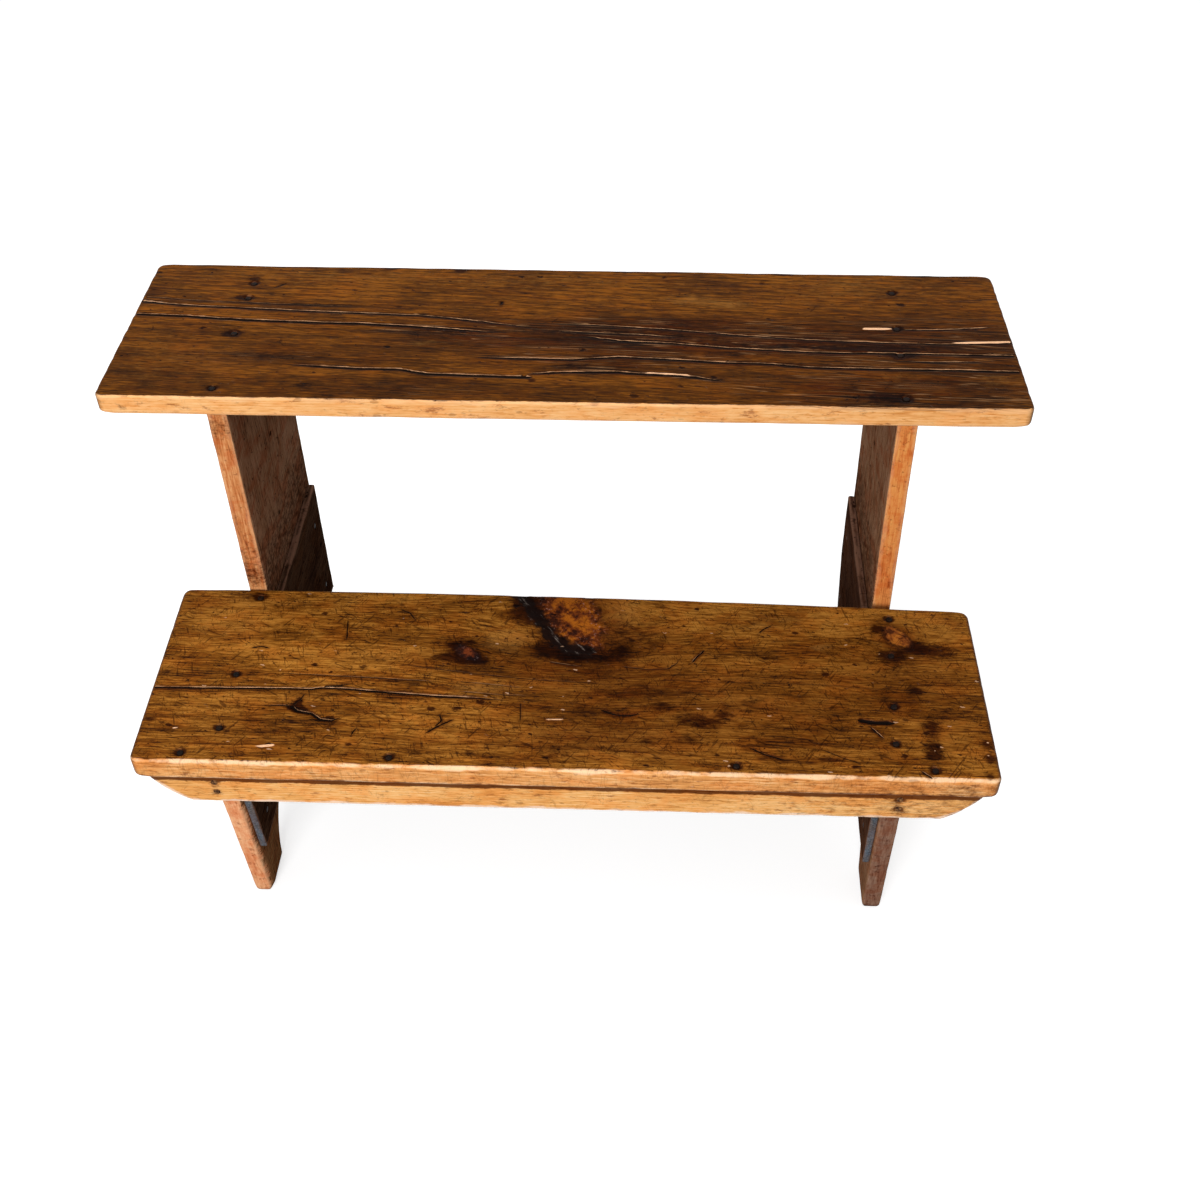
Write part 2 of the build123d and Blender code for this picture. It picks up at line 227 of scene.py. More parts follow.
def flat_grid(length, depth, corner, arris, step):
    """A board's top face as bmesh, at z = 0 and inside its arris, with round corners."""
    inner_length = length - 2 * arris
    inner_depth = depth - 2 * arris
    xs = grid_places(inner_length, step[0])
    ys = grid_places(inner_depth, step[1])
    bm = bmesh.new()
    bmesh.ops.create_grid(bm, x_segments=len(xs) - 1, y_segments=len(ys) - 1, size=0.5)
    flat = np.array([vert.co[:2] for vert in bm.verts]) + 0.5
    p = xs[np.round(flat[:, 0] * (len(xs) - 1)).astype(int)]
    q = ys[np.round(flat[:, 1] * (len(ys) - 1)).astype(int)]
    p, q = pull_corners_round(p, q, inner_length, inner_depth, corner - arris)
    for vert, x, y in zip(bm.verts, p, q):
        vert.co = (x + arris, y + arris, 0.0)
    for face in bm.faces:
        if face.normal.z < 0:
            face.normal_flip()
    return bm


print("grid lines along 100 mm:", len(grid_places(100.0, 2.0)))

# %% [markdown]
# The rim of that face is a ring of edges. It is extruded ring by ring, over the worn arris, down the
# side and round underneath, because rows of rings can be dented and rubbed later. A bevel would be
# quicker, but it leaves long faces that can't be worn. One big face closes the underside.

# %% Side and underside of a shelf
ARRIS_TURNS = [math.radians(angle) for angle in (18, 36, 54, 72, 90)]
RING_GAP = 2.6                 # rings down the side are about this far apart


def edge_rings(thickness, arris):
    """How far out, and how deep, each ring lies on its way from the top face to the underside."""
    over = [(arris * math.sin(turn), -arris * (1 - math.cos(turn))) for turn in ARRIS_TURNS]
    count = round((thickness - 2 * arris) / RING_GAP)
    down = [(arris, -arris - (thickness - 2 * arris) * i / count) for i in range(1, count + 1)]
    under = [(arris * math.cos(turn), -thickness + arris * (1 - math.sin(turn))) for turn in ARRIS_TURNS]
    return over + down + under


def wrap_round(bm, length, depth, thickness, corner, arris):
    """Extrudes the rim of a board's top face down to its underside, and closes it."""
    edges = [edge for edge in bm.edges if edge.is_boundary]
    out = 0.0
    for reach, z in edge_rings(thickness, arris):
        made = bmesh.ops.extrude_edge_only(bm, edges=edges)["geom"]
        ring = {item for item in made if isinstance(item, bmesh.types.BMVert)}
        edges = [
            item for item in made
            if isinstance(item, bmesh.types.BMEdge) and item.verts[0] in ring and item.verts[1] in ring
        ]
        for vert in ring:
            core = Vector((
                min(max(vert.co.x, corner), length - corner),
                min(max(vert.co.y, corner), depth - corner),
                vert.co.z,
            ))
            outwards = (vert.co - core).normalized()
            vert.co += outwards * (reach - out)
            vert.co.z = z
        out = reach
    bmesh.ops.contextual_create(bm, geom=edges)
    bmesh.ops.recalc_face_normals(bm, faces=bm.faces)


print("rings round a 22 mm board:", len(edge_rings(22.0, 2.8)))

# %% [markdown]
# Neither shelf is a true rectangle. Their ends were sawn a little out of square, their depth changes
# from end to end, and the lower board's back edge bulges. So the slab is made square and then skewed:
# left and right are given at the front and at the back, depth at the left and at the right.

# %% Crooked outlines
lower_low = box("lower_shelf")[0]
SHAPES = {
    "top_shelf": {
        "left": (top_low[0] + SKIN, top_low[0] + SKIN),
        "right": (457.2 - SKIN, 452.2 - SKIN),
        "front": top_low[1] + SKIN,
        "depth": (249.6 - 2 * SKIN, 245.3 - 2 * SKIN),
        "bow": 0.0,
        "top": 546.6,
        "thickness": 22.0,
    },
    "lower_shelf": {
        "left": (-415.2 + SKIN, -420.6 + SKIN),
        "right": (433.2 - SKIN, 433.2 - SKIN),
        "front": lower_low[1] + SKIN,
        "depth": (246.2 - 2 * SKIN, 234.8 - 2 * SKIN),
        "bow": 6.0,
        "top": 289.8,
        "thickness": 27.6,
    },
}


def fit_outline(x, y, length, depth, shape):
    """Skews points of the plain rectangle to the real outline: crooked ends and a bowed back edge."""
    along = x / length
    across = y / depth
    left = shape["left"][0] + (shape["left"][1] - shape["left"][0]) * across
    right = shape["right"][0] + (shape["right"][1] - shape["right"][0]) * across
    share = np.clip(along, 0, 1)
    deep = shape["depth"][0] + (shape["depth"][1] - shape["depth"][0]) * along
    deep = deep + 4 * shape["bow"] * share * (1 - share)
    return left + along * (right - left), shape["front"] + across * deep


print("lower shelf starts at y", round(SHAPES["lower_shelf"]["front"], 2))

# %% [markdown]
# Python is slow with one vertex at a time. These helpers read and write all of a mesh's points at
# once, keep numbers on its vertices for the materials, and turn a mesh into a piece of the bench.

# %% Reading and writing meshes


def read_points(mesh):
    """A mesh's vertices as an array."""
    points = np.empty(len(mesh.vertices) * 3)
    mesh.vertices.foreach_get("co", points)
    return points.reshape(-1, 3)


def write_points(mesh, points):
    mesh.vertices.foreach_set("co", points.astype(np.float32).ravel())
    mesh.update()


def read_normals(mesh):
    """A mesh's vertex normals as an array."""
    normals = np.empty(len(mesh.vertices) * 3, np.float32)
    mesh.vertices.foreach_get("normal", normals)
    return normals.reshape(-1, 3)


def as_mesh(bm, name):
    """Turns a bmesh into a mesh, and frees it."""
    mesh = bpy.data.meshes.new(name)
    bm.to_mesh(mesh)
    bm.free()
    return mesh


def store(mesh, name, values):
    """Keeps a number, or a vector, for each vertex under this name."""
    kind, field = ("FLOAT_VECTOR", "vector") if np.ndim(values) == 2 else ("FLOAT", "value")
    layer = mesh.attributes.new(name, kind, "POINT")
    layer.data.foreach_set(field, values.astype(np.float32).ravel())


def front_share(normals):
    """0 to 1 for how squarely a surface looks to the front."""
    return np.clip(-normals[:, 1] * 1.5 - 0.25, 0, 1)


def end_share(normals, axis):
    """0 to 1 for how squarely a surface looks along an axis, either way."""
    return np.clip(np.abs(normals[:, axis]) * 1.5 - 0.3, 0, 1)


def finish_piece(name, mesh, node):
    """Makes the object, lets it ride on the bench, and hides its CAD piece."""
    mesh.polygons.foreach_set("use_smooth", np.full(len(mesh.polygons), True))
    piece = bpy.data.objects.new(name, mesh)
    scene.collection.objects.link(piece)
    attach(piece, "root")
    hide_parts(node)
    mesh.calc_loop_triangles()
    print(f"{name}: {len(mesh.loop_triangles)} triangles")
    return piece


# %% [markdown]
# The top shelf split along its grain in a dozen places. The longest cracks run in from its ends, and
# most have a pale lip on their far side, where the wood stands up and has been rubbed bare; its
# paleness is partly a painted highlight.
# Each line is: width, lip, how far it takes to open at its start and to close at its end, points.

# %% Cracks of the top shelf
TOP_LINES = [
    (1.5, 0.7, 2, 90, [(-456, 170.5), (-411, 164), (-370, 161), (-301, 157), (-232, 153), (-158, 150),
                       (-141, 148), (-97, 141), (-6, 123.5)]),
    (0.7, 0.4, 2, 90, [(-454, 179), (-406, 174), (-319, 169), (-165, 162)]),
    (2.4, 0.9, 2, 60, [(-455, 145.6), (-399, 142.6), (-364, 138.6), (-313, 135.6), (-246, 133),
                       (-212, 132.7), (-162, 129), (-111, 124), (-61, 119)]),
    (2.2, 1.1, 40, 4, [(-280, 57), (-238, 54), (-199, 51.3), (-162, 51.2), (-150, 47.5), (-134, 43.6),
                       (-86, 42), (-29, 41)]),
    (2.2, 1.1, 30, 40, [(-39, 46), (-2, 50.3), (54, 51.7), (77, 49), (110, 47.5), (133, 45),
                        (149, 40.6), (168, 37.7)]),
    (1.8, 0.9, 60, 2, [(-99, 74.7), (10, 72.6), (56, 78), (93, 76), (126, 74), (163, 71), (209, 69.6),
                       (242, 65), (274, 64), (356, 63.6), (453, 62)]),
    (1.2, 0.7, 60, 2, [(-28, 138), (41, 135), (110, 129), (177, 121), (245, 114), (312, 111),
                       (378, 109), (452, 113)]),
    (1.0, 0.7, 40, 30, [(-27, 125), (24, 122), (76, 119), (127, 114)]),
    (1.7, 0.8, 40, 2, [(7, 117), (59, 107), (110, 104), (160, 98), (210, 94), (260, 91), (310, 91.5),
                       (376, 91), (452, 90)]),
    (0.7, 0.6, 30, 30, [(325, 78), (374, 77), (433, 79)]),
    (0.8, 0.8, 6, 20, [(344, 134), (399, 137), (444, 143)]),
    (0.5, 0.3, 30, 2, [(389, 191), (420, 193), (456, 196)]),
    (0.9, 0.2, 6, 6, [(-321, 199), (-306, 211)]),
    (1.0, 0.0, 5, 5, [(-73, 171), (-70, 180)]),
    (0.5, 0.3, 60, 60, [(-250, 122), (-140, 119), (-60, 111), (40, 104)]),
]
# Long splinters stand beside the cracks: pale wood that was under the finish, and partly a painted highlight
# on it.
TOP_SPLINTERS = [
    (3.4, 1.0, 6, 10, [(302, 135.4), (320, 136), (338, 136.4)]),
    (3.4, 1.0, 40, 3, [(378, 111), (420, 113.4), (453, 115)]),
    (3.2, 1.0, 12, 14, [(77, 50.6), (104, 49.4), (133, 46.6)]),
    (1.6, 0.9, 3, 20, [(-456, 172), (-436, 168.5), (-415, 166)]),
    (1.2, 0.6, 8, 8, [(-330, 182), (-322, 181)]),
    (1.0, 0.6, 4, 10, [(436, 141), (446, 146)]),
]
print(len(TOP_LINES), "lines and", len(TOP_SPLINTERS), "splinters on the top shelf")

# %% [markdown]
# Its finish is dark where dirt was rubbed in, hazy where it has worn thin, lighter along its back as a
# painted sheen, and it has darkened as a whole along the cracks. All three are soft patches: x, y,
# half length, half width, amount. Drawing them at chosen places, and not at random, keeps the board
# like one that is known.

# %% Stains of the top shelf
TOP_STAINS = [
    (-345, 221, 12, 8, 0.8), (-350, 180, 11, 7, 0.8), (-346, 111, 13, 9, 0.8), (-383, 75, 24, 8, 0.35),
    (-300, 72, 60, 9, 0.55), (12, 61, 22, 7, 0.75), (120, 112, 100, 12, 0.45), (-20, 120, 70, 8, 0.35),
    (360, 96, 80, 14, 0.35), (60, 66, 26, 4, 0.35), (20, 104, 90, 6, 0.35), (60, 125, 120, 6, 0.4),
    (160, 84, 70, 6, 0.5), (-60, 66, 50, 6, 0.4), (230, 100, 90, 5, 0.5), (330, 100, 60, 5, 0.5),
    (250, 70, 120, 9, 0.35), (-130, 118, 60, 12, 0.5), (-100, 152, 90, 12, 0.42), (290, 108, 120, 7, 0.35),
    (205, 223, 5, 4, 1.1), (-71, 175.5, 4, 6, 0.9), (-254, 22, 14, 5, 0.7), (-229, 4, 16, 6, 0.7),
    (-371, 44, 6, 5, 0.55), (-403, 106, 10, 5, 0.3), (339, 86, 16, 6, 0.7), (366, 64, 14, 4, 0.5),
    (321, 15, 26, 10, 0.6), (285, 33.5, 12, 5, 0.6), (300, 12, 40, 14, 0.45), (-180, 22, 60, 14, 0.3),
    (400, 190, 50, 10, 0.45), (410, 140, 50, 12, 0.4), (-29, 36, 5, 4, 1.1), (-120, 240, 12, 6, 1),
    (-200, 242, 14, 5, 0.9), (60, 243, 16, 5, 1), (160, 246, 90, 5, 0.6), (230, 243, 20, 6, 1.1),
    (300, 246, 40, 6, 0.9), (390, 243, 40, 6, 0.9), (110, 141, 80, 6, 0.4), (150, 12, 50, 10, 0.35),
    (-420, 150, 30, 10, 0.25), (130, 150, 60, 8, 0.3), (-240, 100, 60, 20, 0.18), (-30, 190, 40, 12, 0.25),
    (200, 182, 60, 10, 0.25),
]
# worn haze, and along the back (y near 200 to 225) a painted sheen
TOP_PALE = [
    (127, 186, 26, 9, 0.7), (169, 178, 24, 9, 0.7), (-300, 225, 120, 16, 0.25), (-410, 60, 60, 60, 0.25),
    (330, 50, 20, 8, 0.4), (430, 45, 24, 12, 0.4), (-60, 222, 200, 18, 0.3), (300, 200, 90, 18, 0.3),
    (-140, 98, 30, 6, 0.4), (300, 225, 60, 10, 0.35),
]
TOP_SHADES = [
    (160, 108, 260, 38, 0.9), (-60, 116, 120, 30, 0.6), (20, 64, 90, 16, 0.4), (330, 20, 170, 40, 0.65),
    (-270, 72, 80, 16, 0.4), (400, 120, 110, 70, 0.45), (-150, 15, 170, 24, 0.4), (-300, 158, 80, 14, 0.35),
    (-380, 60, 90, 60, 0.3), (110, 142, 90, 12, 0.45), (260, 34, 110, 20, 0.3),
]
print(len(TOP_STAINS) + len(TOP_PALE) + len(TOP_SHADES), "patches on the top shelf")

# %% [markdown]
# The lower shelf was worked on: it has one long crack, a deep V-shaped gouge, three knots and hundreds
# of small dents. The cracks, the gouge and the longer scratches are drawn like those of the top shelf.

# %% Cracks and scratches of the lower shelf
LOWER_LINES = [
    (1.15, 1.1, 2, 60, [(-415, -150), (-350, -149.4), (-277, -148), (-253, -148), (-240, -145.4),
                       (-217, -146.6), (-168, -150.7), (-119, -153.7), (-78, -155.4), (-40, -158)]),
    (0.9, 0.2, 2, 14, [(-240, -143.5), (-226, -142), (-208, -139)]),
    (0.35, 0.1, 40, 2, [(90, -124), (161, -125), (247, -125), (283, -127), (323, -130), (352, -130.5),
                       (397, -136), (432, -137)]),
    (0.6, 0.2, 4, 3, [(-257, -153), (-261, -162), (-268, -171.5)]),
    (1.6, 0.7, 3, 20, [(-270, -170), (-262, -178), (-246, -181), (-236, -189), (-224, -190), (-214, -184)]),
    (0.6, 0.5, 12, 4, [(-299, -171.6), (-280, -171), (-267, -171.5)]),
    (0.5, 0.2, 4, 4, [(-37, -158), (-36, -172), (-35, -186)]),
    (0.25, 0.1, 4, 6, [(-23, -197), (-21, -215), (-20, -233)]),
    (0.8, 0.2, 8, 10, [(190, -211), (208, -221), (232, -229)]),
    (3.8, 0.3, 4, 6, [(301, -173), (318, -176), (338, -175.5)]),
    (0.8, 0.6, 4, 6, [(312, -181), (326, -198)]),
    (0.8, 0.5, 4, 4, [(136, -99.5), (143, -89), (151, -79)]),
    (0.45, 0.3, 8, 8, [(60, -106), (92, -110), (112, -108), (121, -100), (124, -92)]),
    (0.5, 0.5, 8, 8, [(-16, -101), (4, -105), (24, -108)]),
    (0.9, 0.1, 8, 8, [(42, -166), (59, -173), (72, -174), (86, -171)]),
    (0.9, 0.6, 4, 4, [(355, -236), (361, -241), (367, -246)]),
    (0.6, 0.2, 4, 6, [(-178, -28), (-166, -34), (-158, -46)]),
    (0.4, 0.3, 20, 30, [(-170, -110), (-90, -121), (-20, -128), (60, -132)]),
    (0.5, 0.4, 30, 30, [(-300, -126), (-200, -130), (-110, -134)]),
    (0.4, 0.5, 14, 14, [(-108, -146), (-60, -150), (-22, -150)]),
    (0.4, 0.5, 14, 14, [(-112, -132), (-70, -136), (-30, -140)]),
    (0.8, 0.1, 6, 6, [(-130, -205), (-112, -190), (-100, -183)]),
    (0.7, 0.1, 6, 6, [(-118, -176), (-114, -186), (-121, -196)]),
    (0.7, 0.1, 6, 6, [(-330, -92), (-316, -88), (-305, -92)]),
    (0.7, 0.1, 6, 6, [(-386, -135), (-379, -143)]),
    (0.7, 0.1, 6, 6, [(-386, -143), (-379, -135)]),
    (0.8, 0.1, 8, 8, [(-196, -196), (-200, -203), (-202, -212)]),
    (0.6, 0.1, 6, 6, [(-232, -44), (-230, -60), (-228, -78)]),
    (0.7, 0.1, 6, 6, [(206, -55), (213, -47), (224, -40)]),
    (0.7, 0.1, 6, 6, [(235, -120), (236, -132)]),
    (0.5, 0.1, 6, 6, [(262, -212), (286, -224), (300, -229)]),
]
LOWER_SPLINTERS = [
    (2.6, 1.0, 12, 3, [(-299, -226), (-286, -225), (-274, -223)]),
    (1.6, 0.7, 6, 6, [(-14, -182), (0, -181.6), (12, -181)]),
    (1.8, 0.6, 3, 3, [(-293, -121), (-287, -122)]),
    (1.4, 0.6, 3, 6, [(-250, -147), (-236, -144.4), (-224, -145.5)]),
    (1.6, 0.7, 3, 3, [(-384, -205), (-374, -203)]),
    (1.2, 0.6, 3, 5, [(-169, -73), (-164, -79)]),
    (1.2, 0.5, 3, 3, [(-205, -234), (-200, -234)]),
    # these four, by the chip holes at the right end, are painted glints
    (1.4, 0.5, 3, 3, [(376, -205), (384, -206)]),
    (1.6, 0.5, 2, 3, [(423, -198), (429, -199)]),
    (1.5, 0.5, 2, 3, [(421, -214), (427, -217)]),
    (1.3, 0.5, 2, 2, [(370, -209), (375, -211)]),
]
print(len(LOWER_LINES), "lines and", len(LOWER_SPLINTERS), "splinters on the lower shelf")

# %% [markdown]
# The lower shelf is the busier one: hands, buckets and boots have left dark spots, and dirt has
# gathered round its knots. Its finish is lighter at the left and darkens towards the right.

# %% Stains of the lower shelf
LOWER_STAINS = [
    (148, -181, 22, 12, 0.9), (130, -203, 20, 7, 0.7), (91, -206, 14, 6, 0.6), (107, -161, 17, 7, 0.7),
    (170, -168, 12, 8, 0.8), (126, -176, 14, 8, 0.5), (196, -150, 16, 6, 0.5), (74, -184, 14, 5, 0.5),
    (-112, -81, 9, 4, 1), (-124, -98, 13, 4, 0.6), (-84, -103, 9, 3.5, 0.9), (-96, -76, 5, 3, 0.8),
    (271, -172, 12, 8, 0.5), (-20, -20, 26, 26, 0.5), (2, -88, 30, 11, 1.2), (30, -98, 30, 8, 0.7),
    (-104, -100, 22, 8, 0.5), (-102, -93, 28, 18, 0.8), (-50, -34, 22, 11, 0.7), (-265, -172, 8, 5, 1.8),
    (-258, -177, 9, 3.5, 1.5), (-262, -164, 4, 6, 1.2), (-14, -76, 16, 12, 0.8), (62, -88, 14, 14, 0.6),
    (-34, -30, 16, 26, 0.7), (-48, -10, 16, 14, 0.9), (60, -50, 14, 30, 0.4), (-110, -62, 22, 12, 0.35),
    (-30, -120, 50, 8, 0.3), (370, -70, 13, 9, 1.1), (385, -76, 22, 12, 0.5), (344, -84, 13, 8, 0.8),
    (352, -98, 20, 12, 0.4), (334, -42, 8, 7, 1), (330, -60, 34, 26, 0.4), (363, -132, 12, 8, 1),
    # the chip holes at the right end, near x 372 and 425, are black: painted shade in the holes, with dirt
    (400, -75, 20, 10, 0.5), (373, -209, 10, 10, 1), (371, -219, 10, 6, 0.8), (373, -182, 11, 16, 0.9),
    (425, -201, 8, 7, 1), (425, -219, 8, 8, 1.1), (420, -241, 8, 6, 0.9), (-384, -207, 8, 4, 0.8),
    (-347, -175, 8, 4, 0.6), (-386, -174, 7, 4, 0.6), (-408, -192, 9, 7, 0.8), (-242, -207, 9, 4, 0.4),
    (-197, -192, 3, 6, 0.8), (-203, -233, 5, 4, 0.8), (-105, -193, 10, 4, 0.6), (-288, -226, 5, 3, 1.1),
    (-368, -84, 9, 5, 0.3), (-169, -75, 10, 10, 0.5), (-226, -123, 10, 6, 0.3), (-300, -64, 30, 10, 0.45),
    (-262, -74, 26, 8, 0.45), (-270, -200, 20, 10, 0.3), (-310, -185, 14, 8, 0.5), (-350, -10, 36, 12, 0.5),
    (-240, -18, 30, 8, 0.4), (-130, -14, 30, 9, 0.3), (-180, -14, 16, 5, 0.5), (-150, -50, 30, 16, 0.25),
    (90, -60, 30, 34, 0.55), (180, -86, 40, 10, 0.45), (200, -120, 60, 9, 0.35), (240, -150, 50, 12, 0.3),
    (60, -150, 60, 16, 0.35), (20, -170, 50, 12, 0.35), (-40, -215, 40, 14, 0.35), (60, -218, 60, 12, 0.4),
    (250, -215, 40, 10, 0.4), (320, -220, 24, 10, 0.4), (270, -226, 16, 5, 0.8), (-80, -228, 10, 5, 0.7),
    (-160, -214, 16, 5, 0.45), (-340, -225, 20, 7, 0.4), (0, -226, 16, 12, 0.5), (340, -110, 40, 14, 0.35),
    (400, -160, 30, 24, 0.35), (300, -60, 26, 6, 0.4), (180, -50, 30, 8, 0.35), (215, -90, 12, 3, 0.7),
    (185, -110, 12, 3, 0.6), (262, -108, 10, 3, 0.5), (280, -90, 10, 3, 0.5),
]
LOWER_PALE = [
    (-58, -70, 26, 16, 1), (70, -20, 16, 18, 0.6), (-78, -140, 34, 9, 0.8), (271, -72, 12, 5, 0.9),
    (-360, -60, 60, 30, 0.35), (-300, -20, 60, 10, 0.4), (-200, -100, 60, 20, 0.35),
    (-250, -160, 60, 16, 0.25), (-150, -175, 50, 14, 0.25), (60, -40, 14, 30, 0.5),
    (250, -30, 90, 14, 0.35), (140, -140, 40, 8, 0.25), (400, -30, 30, 14, 0.3), (210, -44, 14, 5, 0.6),
]
LOWER_SHADES = [
    (250, -160, 260, 80, 0.5), (60, -130, 110, 60, 0.45), (-90, -90, 60, 26, 0.4), (80, -60, 50, 36, 0.35),
    (340, -90, 80, 50, 0.35), (-20, -110, 60, 20, 0.3), (-310, -195, 90, 40, 0.25), (0, -215, 200, 20, 0.2),
    (30, -198, 60, 22, 0.35),
]
print(len(LOWER_STAINS) + len(LOWER_PALE) + len(LOWER_SHADES), "patches on the lower shelf")

# %% [markdown]
# The lower shelf's biggest knot meets the back edge, with a strip of black bark down its left side. A
# knot is an oval, turned a little. Wood grain flows round it, so the boards store each point's place in
# the timber, along the grain, across it and into the board, bent round the knots. The material then
# only has to draw straight grain in those coordinates.

# %% Knots, bark and bent grain
LOWER_KNOTS = [
    {"x": 8, "y": -31, "long": 57, "short": 28, "turn": -61, "rim": 0.42, "crust": 0.8,
     "tones": ("#30140a", "#663010", "#965214")},
    {"x": -98, "y": -92, "long": 17, "short": 7.5, "turn": -40, "rim": 0.8, "crust": 0.5,
     "tones": ("#140a0a", "#30150d", "#622c14")},
    {"x": 353, "y": -55, "long": 19, "short": 10, "turn": -50, "rim": 0.7, "crust": 0.0,
     "tones": ("#44200c", "#7a4018", "#98581e")},
]
BARK_LINES = [
    (1.0, 0, 3, 8, [(-50, -2), (-41, -14), (-32, -28), (-22, -46), (-9, -66), (2, -76),
                   (14, -81), (28, -84)]),
]
BEND_LENGTH, BEND_DEPTH, BEND_PUSH = 2.3, 1.9, 0.85    # in sizes of the knot


def bent_round(x, y, knots):
    """The across-grain place of each point, with the grain pushed aside by the knots."""
    across = y.copy()
    for knot in knots:
        size = (knot["long"] + knot["short"]) / 2
        dx = (x - knot["x"]) / (BEND_LENGTH * size)
        dy = (y - knot["y"]) / size
        push = np.tanh(dy * 1.6) * np.exp(-dx ** 2) * np.exp(-np.abs(dy) / BEND_DEPTH)
        across -= BEND_PUSH * size * push
    return across


MARKS = {
    "top_shelf": {"lines": TOP_LINES, "splinters": TOP_SPLINTERS, "stains": TOP_STAINS, "pale": TOP_PALE,
                  "shades": TOP_SHADES, "knots": [], "bark": []},
    "lower_shelf": {"lines": LOWER_LINES, "splinters": LOWER_SPLINTERS, "stains": LOWER_STAINS,
                    "pale": LOWER_PALE, "shades": LOWER_SHADES, "knots": LOWER_KNOTS, "bark": BARK_LINES},
}
print("grain beside the big knot:", bent_round(np.array([8.0]), np.array([-70.0]), LOWER_KNOTS).round(1))

# %% [markdown]
# The marks are carved as well as painted, because a crack that is only dark goes flat when light rakes
# over it. The mesh sinks along the cracks, under stains, bark and nail heads, and rises a little at
# splinters. A board moves up and down with the seasons too, so long and short waves are added. All
# depths are in millimetres, and nothing rises above the CAD board.

# %% Hollows in a shelf's face
CRACK_DEPTH, STAIN_DEPTH, BARK_DEPTH, NAIL_DEPTH = 0.9, 0.35, 0.9, 1.5
SPLINTER_RISE, SPLINTER_WIDTH = 0.25, 2.6
HEAD_REACH, HEAD_SLOPE = 5.4, 1.6    # the dent round a nail head ends here, and slopes over this much
NEAR_TOP = 4                   # a nail whose head is this near a board's top was driven into it


def nearby(x, y, marks, seed):
    """The cracks, splinters and bark at each point of a shelf."""
    crack, side, width, lip = line_field(x, y, marks["lines"])
    chip, _, chip_width, _ = line_field(x, y, marks["splinters"])
    bark = line_field(x, y, marks["bark"])[0]
    bark = bark + 3.0 * uneven(x, y, seed + 5, 7)
    return {
        "crack": crack, "side": side, "width": width, "lip": lip,
        "chip": chip, "chip_width": chip_width, "bark": np.clip((11.0 - bark) / 8.0, 0, 1),
    }


def hollows(x, y, near, marks, seed):
    """How far each point lies above (or, below 0, under) a flat board."""
    lift = -CRACK_DEPTH * (near["width"] / 1.6) * np.exp(-(near["crack"] / 1.5) ** 2)
    stained = np.clip(spot_field(x, y, marks["stains"]), 0, 1)
    lift -= STAIN_DEPTH * stained * (0.5 + 0.5 * uneven(x, y, seed, 9))
    lift -= BARK_DEPTH * near["bark"]
    lift += SPLINTER_RISE * (near["chip_width"] / SPLINTER_WIDTH) * np.exp(-(near["chip"] / 1.6) ** 2)
    lift += 0.22 * uneven(x, y, seed + 1, 60) + 0.10 * uneven(x * 0.25, y, seed + 2, 6) - 0.32
    return lift


def sink_nails(lift, x, y, top):
    """Dents the board round the nails in its top, and returns how dark it is there."""
    halo = np.zeros(len(x))
    for heads in nails.values():
        for head, axis, _ in heads:
            if axis[2] > -0.9 or abs(head[2] - top) > NEAR_TOP:
                continue
            reach = np.hypot((x - head[0]), (y - head[1]))
            lift -= NAIL_DEPTH * np.clip((HEAD_REACH - reach) / HEAD_SLOPE, 0, 1)
            halo += 0.8 * np.exp(-(reach / 6.0) ** 4)
            halo += 0.45 * np.exp(-((x - head[0]) / 15) ** 2 - ((y - head[1]) / 7) ** 2)
    return halo


def swell_knots(lift, x, y, knots, seed):
    """Makes the knots lumpy, with a groove round each."""
    for knot in knots:
        turn = math.radians(knot["turn"])
        u = (x - knot["x"]) * math.cos(turn) + (y - knot["y"]) * math.sin(turn)
        v = -(x - knot["x"]) * math.sin(turn) + (y - knot["y"]) * math.cos(turn)
        inside = np.clip(1.25 - np.hypot(u / knot["long"], v / knot["short"]), 0, 1)
        lift += 0.25 * inside * uneven(x, y, seed + 3, 8) - 0.3 * (inside > 0) * (inside < 0.3)


print("deepest dent:", CRACK_DEPTH + NAIL_DEPTH, "mm")

# %% [markdown]
# Edges wear most. Each point knows how far it is from the board's outline (its rim) and from its nearest
# face (its level), and where both are small it is knocked back, in patches. The corners are knocked off
# more, and the front edge is left slightly wavy, as a hand plane leaves it.

# %% Worn edges of a shelf
BITE = 0.9                     # the deepest wear of an edge, in millimetres
CORNER_REACH = 16.0            # a worn corner starts this far from the board's own corner


def worn_edges(points, x, y, z, shape, length, depth, seed):
    """The points with worn edges and corners, and how far each is from the nearest arris."""
    below = -points[:, 2]
    to_end = np.minimum(points[:, 0], length - points[:, 0])
    to_long_edge = np.minimum(points[:, 1], depth - points[:, 1])
    rim = np.minimum(to_end, to_long_edge)
    level = np.minimum(below, shape["thickness"] - below)
    arris = np.maximum(rim, level)

    wear = np.clip(1 - arris / 6.0, 0, 1) * (0.5 + 0.5 * uneven(x, y * 3, seed + 4, 34))
    bite = BITE * wear ** 2
    middle_y = shape["front"] + depth / 2
    on_long_edge = np.abs(y - middle_y) > depth / 2 - 8
    y_new = y + np.where(rim < 6, bite * np.sign(middle_y - y) * on_long_edge, 0)
    x_new = x + np.where(rim < 6, -bite * np.sign(x) * (np.abs(x) > np.abs(x).max() - 16), 0)
    z = z - np.where(below < 6, bite, 0) * np.clip(1 - rim / 5, 0, 1)

    knocked = np.clip(1 - np.hypot(to_end, to_long_edge) / CORNER_REACH, 0, 1) * np.clip(1 - rim / 7.0, 0, 1)
    rise = np.where(below > shape["thickness"] / 2, 3.2, -1.2)
    z = z + knocked * rise * np.clip(1 - level / 9.0, 0, 1)

    ripple = 0.16 * uneven(x, z, seed + 6, 9) - 0.16
    on_front = np.clip((level - 1.5) / 2, 0, 1) * (rim < 1.0)
    y_new = y_new - ripple * on_front * np.where(y < middle_y, 1, -1)
    return np.column_stack([x_new, y_new, z]), arris


print("edges are worn by up to", BITE, "mm")
